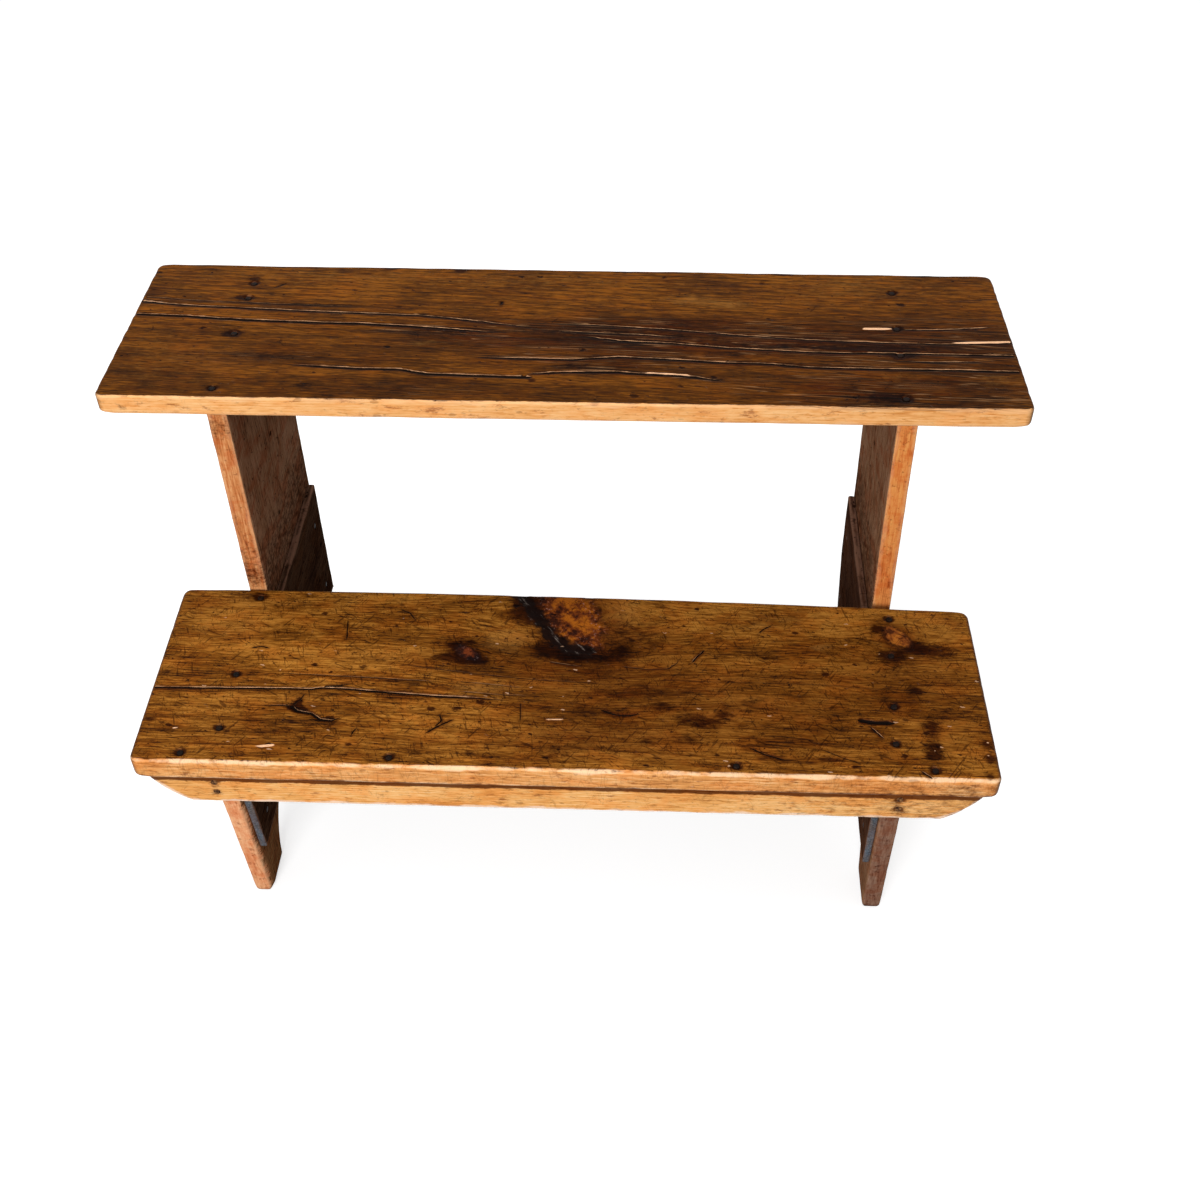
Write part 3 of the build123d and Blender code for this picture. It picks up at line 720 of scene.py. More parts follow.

# %% [markdown]
# Now a shelf is put together: grid, outline, hollows, wear. The same numbers that shaped it are kept on
# its vertices, so the material darkens a crack exactly where the mesh sinks. The lower shelf's front
# edge gets painted shade along its underside, and is darker towards its ends, most at the right.

# %% The two shelves
CORNER = 9.0                   # radius of a shelf's corners
GRID = (2.05, 1.6)             # millimetres between grid lines, along and across
TOP_ZONE, TOP_FADE = 3.2, 1.6  # marks of the top face fade out over the arris


def front_shade_and_darkening(x, below, normals, thickness, rounding, seed):
    """Painted shade along the underside of the lower shelf's front edge, and how much darker it is towards
    its ends.
    """
    # painted shade along the underside of the front edge
    underside_shade = np.clip((below - thickness + 6.0) / 4.0, 0, 1) * (0.5 + 0.4 * uneven(x, below, seed + 7, 30))
    towards_right = np.clip((x - 120) / 300, 0, 1)
    towards_left = np.clip((-150 - x) / 200, 0, 1)
    # darker towards both ends, most at the right
    end_darkening = 0.18 + 0.30 * towards_right + 0.08 * towards_left
    return (underside_shade + end_darkening * (below > rounding)) * (normals[:, 1] < -0.3)


def shelf(name, seed, slope, rounding):
    """A shelf board with its cracks, dents and worn edges."""
    shape, marks = SHAPES[name], MARKS[name]
    length = shape["right"][0] - shape["left"][0]
    depth = shape["depth"][0]
    bm = flat_grid(length, depth, CORNER, rounding, GRID)
    wrap_round(bm, length, depth, shape["thickness"] - SKIN, CORNER, rounding)
    mesh = as_mesh(bm, name)
    points = read_points(mesh)
    x, y = fit_outline(points[:, 0], points[:, 1], length, depth, shape)
    below = -points[:, 2]
    near = nearby(x, y, marks, seed)
    lift = hollows(x, y, near, marks, seed)
    halo = sink_nails(lift, x, y, shape["top"])
    swell_knots(lift, x, y, marks["knots"], seed)
    on_top = np.clip((TOP_ZONE - below) / TOP_FADE, 0, 1)
    z = shape["top"] - SKIN / 2 - below + np.minimum(lift, 0) * on_top
    worn, arris = worn_edges(points, x, y, z, shape, length, depth, seed)
    write_points(mesh, worn * MM)

    normals = read_normals(mesh)
    across = bent_round(x, y, marks["knots"]) + slope * x
    store(mesh, "grain", np.column_stack([x + 3000 * seed, across, below + 400 * seed]))
    store(mesh, "place", np.column_stack([x, y, below]))
    store(mesh, "front", front_share(normals))
    store(mesh, "end", end_share(normals, 0))
    store(mesh, "arris", arris)
    store(mesh, "crack_mm", near["side"])
    store(mesh, "crack_wide", near["width"])
    store(mesh, "crack_lip", near["lip"])
    store(mesh, "splinter_and_highlight", near["chip_width"] * np.exp(-(near["chip"] / 1.7) ** 2) / SPLINTER_WIDTH)
    stain = (np.clip(spot_field(x, y, marks["stains"]), 0, 1.3) + halo) * on_top
    # the lower shelf's front edge: painted shade along its underside and darker ends, kept with the stains
    if name == "lower_shelf":
        stain = stain + front_shade_and_darkening(x, below, normals, shape["thickness"], rounding, seed)
    store(mesh, "stain", stain)
    store(mesh, "pale", spot_field(x, y, marks["pale"]) * on_top)
    beside = 1.1 * np.clip(near["width"] - 0.25, 0, 1) * np.exp(-(near["crack"] / 4.2) ** 2)
    store(mesh, "shade", (np.clip(spot_field(x, y, marks["shades"]), 0, 0.85) + beside) * on_top)
    store(mesh, "bark", near["bark"] * on_top)
    return finish_piece(name + "_board", mesh, name)


top_board = shelf("top_shelf", 1, slope=0.045, rounding=2.8)
lower_board = shelf("lower_shelf", 2, slope=0.02, rounding=4.6)

# %% [markdown]
# The other boards are sawn from an outline that is drawn in two directions of the bench. Its corners
# are rounded by a short curve each, and one arc makes the arch between the feet.

# %% Outlines
CURVE_POINTS = 4


def arc(centre, radius, start, end, count):
    """Points on an arc, from one angle to another, in degrees."""
    angles = np.radians(np.linspace(start, end, count))
    return [(centre[0] + radius * math.cos(a), centre[1] + radius * math.sin(a)) for a in angles]


def rounded(points, radii):
    """An outline with its corners rounded: a radius for each point, 0 where it stays sharp."""
    made = []
    for i, (point, radius) in enumerate(zip(points, radii)):
        here = np.array(point, float)
        if radius <= 0:
            made.append(tuple(here))
            continue
        before = np.array(points[i - 1], float) - here
        after = np.array(points[(i + 1) % len(points)], float) - here
        before /= np.linalg.norm(before)
        after /= np.linalg.norm(after)
        half = math.acos(np.clip(before @ after, -1, 1)) / 2
        cut = radius / math.tan(half)
        for share in np.linspace(0, 1, CURVE_POINTS):
            start, end = here + before * cut, here + after * cut
            bend = (1 - share) ** 2 * start + 2 * share * (1 - share) * here + share ** 2 * end
            made.append(tuple(bend))
    return made


def outline_distance(a, b, outline):
    """How far each point is from an outline."""
    nearest = np.full(a.shape, NOWHERE)
    for (a0, b0), (a1, b1) in zip(outline, outline[1:] + outline[:1]):
        length = math.hypot(a1 - a0, b1 - b0)
        if length < 1e-6:
            continue
        ta, tb = (a1 - a0) / length, (b1 - b0) / length
        along = np.clip((a - a0) * ta + (b - b0) * tb, 0, length)
        nearest = np.minimum(nearest, np.hypot(a - a0 - along * ta, b - b0 - along * tb))
    return nearest


print("a rounded square has", len(rounded([(0, 0), (9, 0), (9, 9), (0, 9)], [2] * 4)), "points")

# %% [markdown]
# The outline is laid flat as one face, thickened by extruding it, and its edges are eased with a small
# bevel. It is then cut up finely by planes, which keeps its shape exactly, so that it can wear. A remesh
# would give even faces too, but it would blur the arrises. A board that takes nails is cut more finely
# round their heads; two cuts that almost meet would leave slivers, so the second is left out.

# %% Sawing a board
CUT_GAP = 0.1                  # cuts closer than this are one cut
SNAP = 0.01                    # a vertex this near a cut is on it
HEAD_CUTS = (-5.6, -4.2, -2.4, 0, 2.4, 4.2, 5.6)    # millimetres from the middle of a nail head


def saw_through(bm, axis, place, snap):
    """Divides every face of a board where a plane meets it."""
    spot, way = [0.0, 0.0, 0.0], [0.0, 0.0, 0.0]
    spot[axis], way[axis] = place, 1.0
    everything = bm.verts[:] + bm.edges[:] + bm.faces[:]
    bmesh.ops.bisect_plane(bm, geom=everything, dist=snap, plane_co=spot, plane_no=way)


def sawn_board(outline, thickness, easing, step, extra):
    """A board as bmesh: its outline in x and y, its outer face at z = 0 and its inner one at thickness."""
    bm = bmesh.new()
    face = bm.faces.new([bm.verts.new((a, b, 0.0)) for a, b in outline])
    made = bmesh.ops.extrude_face_region(bm, geom=[face])["geom"]
    lifted = [item for item in made if isinstance(item, bmesh.types.BMVert)]
    bmesh.ops.translate(bm, verts=lifted, vec=(0, 0, thickness))
    bmesh.ops.recalc_face_normals(bm, faces=bm.faces)
    rims = [edge for edge in bm.edges if abs(edge.verts[0].co.z - edge.verts[1].co.z) < 1e-6]
    bmesh.ops.bevel(
        bm, geom=rims, offset=easing, offset_type="OFFSET", segments=3, profile=0.5,
        affect="EDGES", material=-1, clamp_overlap=False,
    )
    sides = np.array(outline)
    for axis in (0, 1):
        low, high = sides[:, axis].min(), sides[:, axis].max()
        places = sorted(list(np.arange(low + step, high - 1.0, step)) + extra[axis])
        for place, before in zip(places, [low] + places[:-1]):
            if place - before >= CUT_GAP:
                saw_through(bm, axis, place, SNAP)
    for place in np.linspace(easing, thickness - easing, 5)[1:-1]:
        saw_through(bm, 2, place, 0.0)
    return bm


def cuts_round_nails(node_names, axes):
    """Extra cuts round the nail heads of a board, in the two directions of its outline."""
    heads = [head for node in node_names for head, _, _ in nails[node]]
    return [
        sorted({float(np.round(head[axis] + offset, 2)) for head in heads for offset in HEAD_CUTS})
        for axis in axes
    ]


print("cuts for the apron's nails:", len(cuts_round_nails(["apron_nails_left"], (0, 2))[0]))

# %% [markdown]
# A flat board is then stood up in its place in the bench. The right-hand end leans out a little and toes
# in at the front, which is worth keeping: true right angles would look like a new bench.

# %% Standing the boards up
TOP_UNDERSIDE = 524.6
LOWER_UNDERSIDE = 262.2
UPRIGHT_FRONT_Y = 0.27
LEFT_END_X, RIGHT_END_X = -349.7, 348.5
LEAN = math.tan(math.radians(1.15))
TOE_IN = math.tan(math.radians(0.7))
apron_low, apron_high = box("apron")


def left_end(a, b, into):
    """Across, up and into an end board to the bench's frame, at the left."""
    return np.column_stack([LEFT_END_X + into, a, b])


def right_end(a, b, into):
    """The same at the right."""
    lean = (TOP_UNDERSIDE - b) * LEAN
    toe = (a - UPRIGHT_FRONT_Y) * TOE_IN
    return np.column_stack([RIGHT_END_X + lean + toe - into, a, b])


def apron_face(a, b, into):
    return np.column_stack([a, apron_low[1] + into, b])


print("right end's foot stands", round(TOP_UNDERSIDE * LEAN, 1), "mm further out than its top")

# %% [markdown]
# Sawn boards wear like the shelves: their arrises are knocked back in patches, and the wood is sunk and
# dark round the nails. Where boards meet, shade is painted in: a painted shadow, with some dirt, on the
# apron right under the shelf, and painted shade on the uprights' inner faces round the lower shelf.

# %% Wear, dirt and painted shade of a sawn board
# darker bands on the front edges: painted shade under the boards above, at the shelves and at the floor, and
# stains between them
FRONT_SHADE_AND_STAINS = {               # where a front edge has darkened: height, reach and amount
    "upright_left": [(508, 16, 0.55), (340, 26, 0.42), (305, 18, 0.62)],
    "upright_right": [(515, 8, 0.3), (400, 12, 0.25), (297, 9, 0.25)],
    "front_leg_left": [(205, 10, 0.3), (60, 14, 0.2), (4, 5, 0.5)],
    "front_leg_right": [(205, 12, 0.3), (90, 40, 0.3), (4, 6, 0.6)],
}
PLANK_WEAR, PLANK_WEAR_REACH = 0.7, 4.5
PLANK_NAIL_DEPTH = 1.4


def dented(points, normals, node_names):
    """Sinks the surface round nail heads, and returns how dark it is there."""
    halo = np.zeros(len(points))
    for node in node_names:
        for head, axis, _ in nails[node]:
            reach = np.linalg.norm(points - head, axis=1)
            square = np.clip(-(normals @ axis), 0, 1)
            dent = PLANK_NAIL_DEPTH * np.clip((HEAD_REACH - reach) / HEAD_SLOPE, 0, 1) * square
            points += axis * dent[:, None]
            halo += 0.75 * np.exp(-(reach / HEAD_REACH) ** 2) * square
    return halo


def gathered_dirt_and_shade(halo, node, a, b, inner, normals, seed):
    """Adds the darkening of one board's own places: painted shade where it meets other boards, and darker
    bands.
    """
    if node == "apron":
        # painted shadow, with some dirt, along the apron's top under the shelf's overhang; then darker
        # towards the right end
        wavy = 0.8 * uneven(a, b, seed, 20)
        halo += 1.2 * np.clip((b - LOWER_UNDERSIDE + 11.8 + wavy) / 2.5, 0, 1)
        halo += 0.22 + 0.24 * np.clip((a - 120) / 260, 0, 1) - 0.06 * np.clip((-150 - a) / 200, 0, 1)
    if node.startswith("upright"):
        # painted shade on the uprights' inner faces, deepest where they meet the lower shelf
        halo += 0.65 * np.exp(-((b - 285) / 75) ** 2) * inner * (np.abs(normals[:, 0]) > 0.5)
    # darker bands on the front edge: painted shade where it meets other boards or the floor, and stains
    for spot, reach, amount in FRONT_SHADE_AND_STAINS.get(node, []):
        halo += amount * np.exp(-((b - spot) / reach) ** 2) * (normals[:, 1] < -0.5)


print("front edges with stains of their own:", len(FRONT_SHADE_AND_STAINS))

# %% [markdown]
# One function makes every sawn board: it saws it, shapes it where it is asked to, stands it up, wears
# it, and stores what its material needs. A mirrored board would come out inside out, so the normals are
# worked out again once it stands.

# %% A plank


def plank(name, node, outline, thickness, place, along, seed, easing=1.5, step=6.0, axes=(1, 2),
          nail_nodes=(), shape=None):
    """A sawn board of the bench, in place, with its grain along x, y or z, and its wear."""
    bm = sawn_board(outline, thickness, easing, step, cuts_round_nails(nail_nodes, axes))
    a, b, into = np.array([vert.co for vert in bm.verts]).T
    rim = outline_distance(a, b, outline)
    level = np.minimum(into, thickness - into)
    if shape is not None:
        into = shape(a, b, into)
    for vert, co in zip(bm.verts, place(a, b, into)):
        vert.co = co
    bm.normal_update()
    bmesh.ops.recalc_face_normals(bm, faces=bm.faces)
    mesh = as_mesh(bm, node)
    normals = read_normals(mesh).astype(float)
    points = read_points(mesh)
    arris = np.maximum(rim, level)
    wear = np.clip(1 - arris / PLANK_WEAR_REACH, 0, 1) * (0.5 + 0.5 * uneven(a + into, b, seed, 24))
    ripple = 0.1 * (1 + uneven(a + into * 2, b, seed + 1, 11))
    points -= normals * (PLANK_WEAR * wear ** 2 + SKIN + ripple)[:, None]
    halo = dented(points, normals, nail_nodes)
    gathered_dirt_and_shade(halo, node, a, b, into > thickness / 2, normals, seed)
    write_points(mesh, points * MM)
    grain = (b, a, into) if along == "z" else (a, b, into)
    store(mesh, "grain", np.column_stack(grain) + np.array([3000.0 * seed, 700.0 * seed, 400.0 * seed]))
    store(mesh, "place", np.column_stack([a, b, into]))
    store(mesh, "front", front_share(normals))
    store(mesh, "end", end_share(normals, "xyz".index(along)))
    store(mesh, "arris", arris)
    # nail halos, with painted shade where boards meet and darker bands, go into the stain attribute
    store(mesh, "stain", halo)
    return finish_piece(name, mesh, node)


print("a plank's edges wear back by up to", PLANK_WEAR, "mm")

# %% [markdown]
# The two ends. In front stands a short plank with a sloping toe; behind it a tall one. One arch is sawn
# through both, so each foot is narrow. Their feet are worn round, and the left front leg is chamfered
# down its inner edge.

# %% End boards
END_THICKNESS = 20.5
ARCH_RADIUS = 88.0
ARCH_FRONT_Y = -145.97
HEEL_LENGTH = 66.0
TOE_Y = -195.97
APRON_BACK_Y = -216.47
APRON_BOTTOM = 219.7
UPRIGHT_BACK_Y = {"left": 222.8, "right": 219.5}
FOOT_WEAR, FOOT_PINCH = 9.0, 6.0     # a foot is worn this far up, and narrowed by this much a side
CHAMFER_REACH = 7.0


def leg_outline():
    crown = ARCH_FRONT_Y + ARCH_RADIUS
    corners = [
        (crown, ARCH_RADIUS), (UPRIGHT_FRONT_Y, ARCH_RADIUS), (UPRIGHT_FRONT_Y, LOWER_UNDERSIDE),
        (APRON_BACK_Y, LOWER_UNDERSIDE), (APRON_BACK_Y, APRON_BOTTOM), (TOE_Y, 0), (ARCH_FRONT_Y, 0),
    ]
    return rounded(corners, [0, 0.8, 0.8, 0.8, 2, 5, 6]) + arc((crown, 0), ARCH_RADIUS, 174, 96, 22)


def upright_outline(side):
    back = UPRIGHT_BACK_Y[side]
    heel = back - HEEL_LENGTH
    crown = heel - ARCH_RADIUS
    corners = [
        (heel, 0), (back, 0), (back, TOP_UNDERSIDE), (UPRIGHT_FRONT_Y, TOP_UNDERSIDE),
        (UPRIGHT_FRONT_Y, ARCH_RADIUS), (crown, ARCH_RADIUS),
    ]
    return rounded(corners, [6, 4, 1, 1, 0.8, 0]) + arc((crown, 0), ARCH_RADIUS, 84, 6, 22)


def worn_foot(chamfer):
    """Rounds the foot over its last few millimetres, and chamfers the inner edge of its toe."""
    half = END_THICKNESS / 2

    def shape(a, b, into):
        low = np.clip((FOOT_WEAR - b) / FOOT_WEAR, 0, 1)
        pinch = FOOT_PINCH * (1 - np.sqrt(1 - low ** 2 * 0.96))
        into = half + (into - half) * (1 - 2 * pinch / END_THICKNESS)
        edge = TOE_Y + (APRON_BACK_Y - TOE_Y) * np.clip(b, 0, APRON_BOTTOM) / APRON_BOTTOM
        close = np.clip(1 - (a - edge) / CHAMFER_REACH, 0, 1)
        drop = chamfer * np.clip((APRON_BOTTOM - b) / 60.0, 0, 1) * close
        return into - np.where(into > half, drop * (into - half) / half, 0)
    return shape


for side, place, seed, chamfer in (("left", left_end, 4, 3.7), ("right", right_end, 6, 0.6)):
    plank(f"front_leg_{side}_plank", f"front_leg_{side}", leg_outline(), END_THICKNESS,
          place, "z", seed, shape=worn_foot(chamfer))
    plank(f"upright_{side}_plank", f"upright_{side}", upright_outline(side),
          END_THICKNESS, place, "z", seed + 1, shape=worn_foot(0.0))

# %% [markdown]
# The battens tie each end's two planks from inside. They are thin boards, nailed flat against the ends,
# with their front cut to the leg's slope; the right one has lost its lower back corner to a saw.

# %% Battens
BATTEN_THICKNESS = 8.0
BATTEN_BOTTOM = 90.0
BATTEN_INSET = 4.0             # from the leg's front edge
CORNER_RUN, CORNER_RISE = 22.0, 75.0


def batten_outline(side):
    back = UPRIGHT_BACK_Y[side] - 6.0
    front = APRON_BACK_Y + BATTEN_INSET
    toe = TOE_Y + (APRON_BACK_Y - TOE_Y) * BATTEN_BOTTOM / APRON_BOTTOM + BATTEN_INSET
    corners = [(front, LOWER_UNDERSIDE), (front, APRON_BOTTOM), (toe, BATTEN_BOTTOM)]
    radii = [0.8, 1, 2]
    if side == "right":
        corners += [(back - CORNER_RUN, BATTEN_BOTTOM), (back, BATTEN_BOTTOM + CORNER_RISE)]
        radii += [3, 8]
    else:
        corners += [(back, BATTEN_BOTTOM)]
        radii += [0.5]
    return rounded(corners + [(back, LOWER_UNDERSIDE)], radii + [3])


def against(end):
    """Places a board flat on the inside of an end."""
    return lambda a, b, into: end(a, b, into + END_THICKNESS)


for side, end, seed in (("left", left_end, 8), ("right", right_end, 9)):
    plank(f"batten_{side}_board", f"batten_{side}", batten_outline(side), BATTEN_THICKNESS,
          against(end), "y", seed, easing=1.6, nail_nodes=[f"batten_nails_{side}"])

# %% [markdown]
# The apron stiffens the lower shelf's front edge. Its ends were sawn by eye to a sloping, slightly
# bulging line, so the slope is drawn as a dozen points that swell in the middle.

# %% Apron
APRON_THICKNESS = 24.0
SLOPE_RUN, SLOPE_BULGE = 40.0, 5.0


def apron_outline():
    left, right = apron_low[0], apron_high[0]
    top, bottom = LOWER_UNDERSIDE, APRON_BOTTOM
    points = [(left, top)]
    for share in np.linspace(0.08, 0.92, 12):
        swell = 4 * SLOPE_BULGE * share * (1 - share)
        points.append((left + SLOPE_RUN * share - 0.73 * swell, top + (bottom - top) * share - 0.69 * swell))
    right_points = [(left + right - a, b) for a, b in points]
    return points + [(left + SLOPE_RUN, bottom), (right - SLOPE_RUN, bottom)] + right_points[::-1]


plank("apron_board", "apron", apron_outline(), APRON_THICKNESS, apron_face, "x", 11,
      easing=1.6, step=5.0, axes=(0, 2), nail_nodes=["apron_nails_left", "apron_nails_right"])

# %% [markdown]
# A cut nail is sheared from plate: its shank is square and tapers to a blunt point. Its head was struck
# by a hammer, so it is flat-topped, a little lopsided and set just below the wood. Rings of vertices
# are laid along the nail and bridged, each ring somewhere between round and square.

# %% One nail
RING_POINTS = 12
SETBACK = 0.1                  # the head lies this far under the CAD nail's head


def nail_ring(bm, radius, squareness, z, rng, ragged, turn):
    """A closed ring of points, round or square, at a height."""
    ring = bmesh.ops.create_circle(bm, cap_ends=False, segments=RING_POINTS, radius=radius)["verts"]
    for vert in ring:
        angle = math.atan2(vert.co.y, vert.co.x)
        square = 1 / max(abs(math.cos(angle)), abs(math.sin(angle)))
        stretch = 1 + squareness * (square - 1) + ragged * rng.uniform(-1, 1)
        x, y = vert.co.x * stretch, vert.co.y * stretch
        vert.co = (
            x * math.cos(turn) - y * math.sin(turn), x * math.sin(turn) + y * math.cos(turn),
            z + ragged * rng.uniform(-1, 1),
        )
    members = set(ring)
    return [edge for edge in bm.edges if edge.verts[0] in members and edge.verts[1] in members]


def nail_rings(length):
    """Radius, squareness, depth and raggedness of each ring, from the head to the point."""
    return [
        (1.5, 0.4, 0.0, 0.05), (2.6, 0.5, -0.12, 0.07), (3.25, 0.55, -0.5, 0.07), (3.3, 0.6, -1.5, 0.05),
        (1.75, 0.9, -1.7, 0.0), (1.5, 0.95, -3.5, 0.0), (1.2, 0.95, -length * 0.5, 0.0),
        (0.78, 0.95, -length + 1.0, 0.0), (0.5, 0.9, -length + SKIN, 0.0),
    ]


def add_nail(bm, head, axis, length, rng):
    """Adds one nail to bm, its head's face at head, pointing along axis."""
    part = bmesh.new()
    turn = rng.uniform(-0.35, 0.35)
    previous = None
    for radius, squareness, z, ragged in nail_rings(length):
        ring = nail_ring(part, radius, squareness, z - SETBACK, rng, ragged, turn)
        if previous is None:
            bmesh.ops.contextual_create(part, geom=ring)
        else:
            bmesh.ops.bridge_loops(part, edges=previous + ring)
        previous = ring
    bmesh.ops.contextual_create(part, geom=previous)
    bmesh.ops.recalc_face_normals(part, faces=part.faces)
    aim = Vector((0, 0, -1)).rotation_difference(Vector(axis)).to_matrix().to_4x4()
    bmesh.ops.transform(part, matrix=Matrix.Translation(Vector(head)) @ aim, verts=part.verts)
    mesh = as_mesh(part, "nail")
    bm.from_mesh(mesh)
    bpy.data.meshes.remove(mesh)


print("rings in a nail:", len(nail_rings(50.0)))

# %% [markdown]
# Nails of one joint are alike and stay together in one piece. One seeded source of chance runs through
# all of them, so every head is a little different, and the same on each run.

# %% All nails
rng = np.random.default_rng(31)
nail_pieces = []
for node, places in nails.items():
    bm = bmesh.new()
    for head, axis, length in places:
        add_nail(bm, head, axis, length, rng)
    mesh = as_mesh(bm, node)
    write_points(mesh, read_points(mesh) * MM)
    nail_pieces.append(finish_piece(node + "_iron", mesh, node))

# %% [markdown]
# Materials are built from nodes, and a node drawing of old wood is large. Writing it as code keeps it
# readable. A small class adds nodes and joins them; each value may be a number, a colour or the output
# of another node, so formulas can be nested.

# %% Shader tools: nodes and sums


def colour(code):
    """A colour written as on a paint card, #rrggbb, as the linear colour that a shader takes."""
    parts = [int(code[i:i + 2], 16) / 255 for i in (1, 3, 5)]
    linear = [p / 12.92 if p <= 0.04045 else ((p + 0.055) / 1.055) ** 2.4 for p in parts]
    return (*linear, 1.0)


class Sums:
    """Adds nodes to a node tree, joins them, and calculates with them."""

    def __init__(self, tree):
        self.tree = tree

    def add(self, kind, **settings):
        node = self.tree.nodes.new("ShaderNode" + kind)
        for key, value in settings.items():
            setattr(node, key, value)
        return node

    def put(self, socket, value):
        if isinstance(value, bpy.types.NodeSocket):
            self.tree.links.new(value, socket)
        else:
            socket.default_value = value

    def math(self, operation, *values):
        node = self.add("Math", operation=operation)
        for socket, value in zip(node.inputs, values):
            self.put(socket, value)
        return node.outputs[0]

    def times(self, first, *others):
        for other in others:
            first = self.math("MULTIPLY", first, other)
        return first

    def plus(self, a, b):
        return self.math("ADD", a, b)

    def minus(self, a, b):
        return self.math("SUBTRACT", a, b)

    def scaled(self, value, factor, shift):
        """value x factor + shift."""
        return self.math("MULTIPLY_ADD", value, factor, shift)

    def larger(self, a, b):
        return self.math("MAXIMUM", a, b)

    def size(self, value):
        return self.math("ABSOLUTE", value)

    def ease(self, value, low, high):
        """0 to 1 as the value goes from low to high, smoothly."""
        node = self.add("MapRange", interpolation_type="SMOOTHSTEP")
        self.put(node.inputs[0], value)
        self.put(node.inputs[1], low)
        self.put(node.inputs[2], high)
        return node.outputs[0]


print("white is", colour("#ffffff"), "and mid grey", np.round(colour("#808080"), 3))

# %% [markdown]
# The second half of the class deals with places and colours: noise, cells, turning, mixing. A mix with
# "MULTIPLY" darkens the wood under it and keeps its figure, as a stain does; a plain mix covers it, as
# paint does. Noise is given in lumps per millimetre, so its size is that of the real thing.

# %% Shader tools: places and colours


class Graph(Sums):
    """The same with places, noise and colours."""

    def vector(self, operation, a, b):
        node = self.add("VectorMath", operation=operation)
        self.put(node.inputs[0], a)
        self.put(node.inputs[1], b)
        return node.outputs[0]

    def split(self, vector):
        node = self.add("SeparateXYZ")
        self.put(node.inputs[0], vector)
        return list(node.outputs)[:3]

    def join(self, x, y, z):
        node = self.add("CombineXYZ")
        for socket, value in zip(node.inputs, (x, y, z)):
            self.put(socket, value)
        return node.outputs[0]

    def spin(self, vector, angle):
        """A place turned about the vertical, by an angle in radians."""
        node = self.add("VectorRotate", rotation_type="Z_AXIS")
        self.put(node.inputs["Vector"], vector)
        self.put(node.inputs["Angle"], angle)
        return node.outputs[0]

    def noise(self, vector, pace, detail=3.0, roughness=0.5):
        """Noise from 0 to 1 that varies this many times per millimetre along, across and into."""
        node = self.add("TexNoise", noise_dimensions="3D")
        self.put(node.inputs["Vector"], self.vector("MULTIPLY", vector, pace))
        for name, value in (("Scale", 1.0), ("Detail", detail), ("Roughness", roughness)):
            node.inputs[name].default_value = value
        return node.outputs[0]

    def cells(self, vector, pace):
        """Scattered points: how near the nearest is, and three numbers of its own between 0 and 1."""
        node = self.add("TexVoronoi")
        self.put(node.inputs["Vector"], self.vector("MULTIPLY", vector, pace))
        node.inputs["Scale"].default_value = 1.0
        return node.outputs["Distance"], self.split(node.outputs["Color"])

    def mix(self, factor, a, b, blend="MIX"):
        node = self.add("Mix", data_type="RGBA", blend_type=blend)
        self.put(node.inputs[0], factor)
        self.put(node.inputs[6], a)
        self.put(node.inputs[7], b)
        return node.outputs[2]

    def stain(self, skin, amount, code):
        """Darkens a colour towards another, so that its figure still shows."""
        return self.mix(amount, skin, self.mix(1.0, skin, colour(code), "MULTIPLY"))

    def paint(self, skin, amount, code):
        """Covers a colour with another."""
        return self.mix(amount, skin, colour(code))

    def ramp(self, value, stops):
        """A run of colours: (place, colour code) pairs."""
        node = self.add("ValToRGB")
        self.put(node.inputs[0], value)
        elements = node.color_ramp.elements
        while len(elements) < len(stops):
            elements.new(0.5)
        for element, (place, code) in zip(elements, stops):
            element.position = place
            element.color = colour(code)
        return node.outputs[0]

    def kept(self, name, output="Fac"):
        """A number, or a Vector, that the mesh stores for each vertex."""
        return self.add("Attribute", attribute_name=name).outputs[output]

    def use(self, group, **values):
        """A group node with these inputs; returns its outputs by name."""
        node = self.add("Group", node_tree=group)
        for name, value in values.items():
            self.put(node.inputs[name], value)
        return node.outputs

    def emboss(self, shader, height, distance):
        """Lets the light see a height that the mesh is too coarse to have."""
        bump = self.add("Bump")
        bump.inputs["Strength"].default_value = 1.0
        bump.inputs["Distance"].default_value = distance
        self.put(bump.inputs["Height"], height)
        self.put(shader.inputs["Normal"], bump.outputs[0])


print("graph tools:", len([name for name in dir(Graph) if name[0] != "_"]))

# %% [markdown]
# Effects that several boards share are node groups. A group takes and returns numbers and colours only,
# and every shader stays in its own material, so that a board can be changed without touching the rest.

# %% Node groups
KINDS = {"value": "NodeSocketFloat", "vector": "NodeSocketVector"}


def new_group(name, inputs, outputs):
    """An empty group whose outputs are all values; returns it, its graph, its inputs and its outputs."""
    group = bpy.data.node_groups.new(name, "ShaderNodeTree")
    for socket, kind in inputs.items():
        group.interface.new_socket(socket, in_out="INPUT", socket_type=KINDS[kind])
    for socket in outputs:
        group.interface.new_socket(socket, in_out="OUTPUT", socket_type=KINDS["value"])
    taken = group.nodes.new("NodeGroupInput").outputs
    given = group.nodes.new("NodeGroupOutput").inputs
    return group, Graph(group), taken, given


print("a group takes", " or ".join(KINDS), "and returns values")

# %% [markdown]
# Pine grain: rings round a far-off heart, bent by slow noise so that they run out in long tongues on
# the board's face, plus streaks and fibres stretched along the grain, and clouds where the finish took
# unevenly. A wave texture would give stripes of one width; rings cut by a board never do.

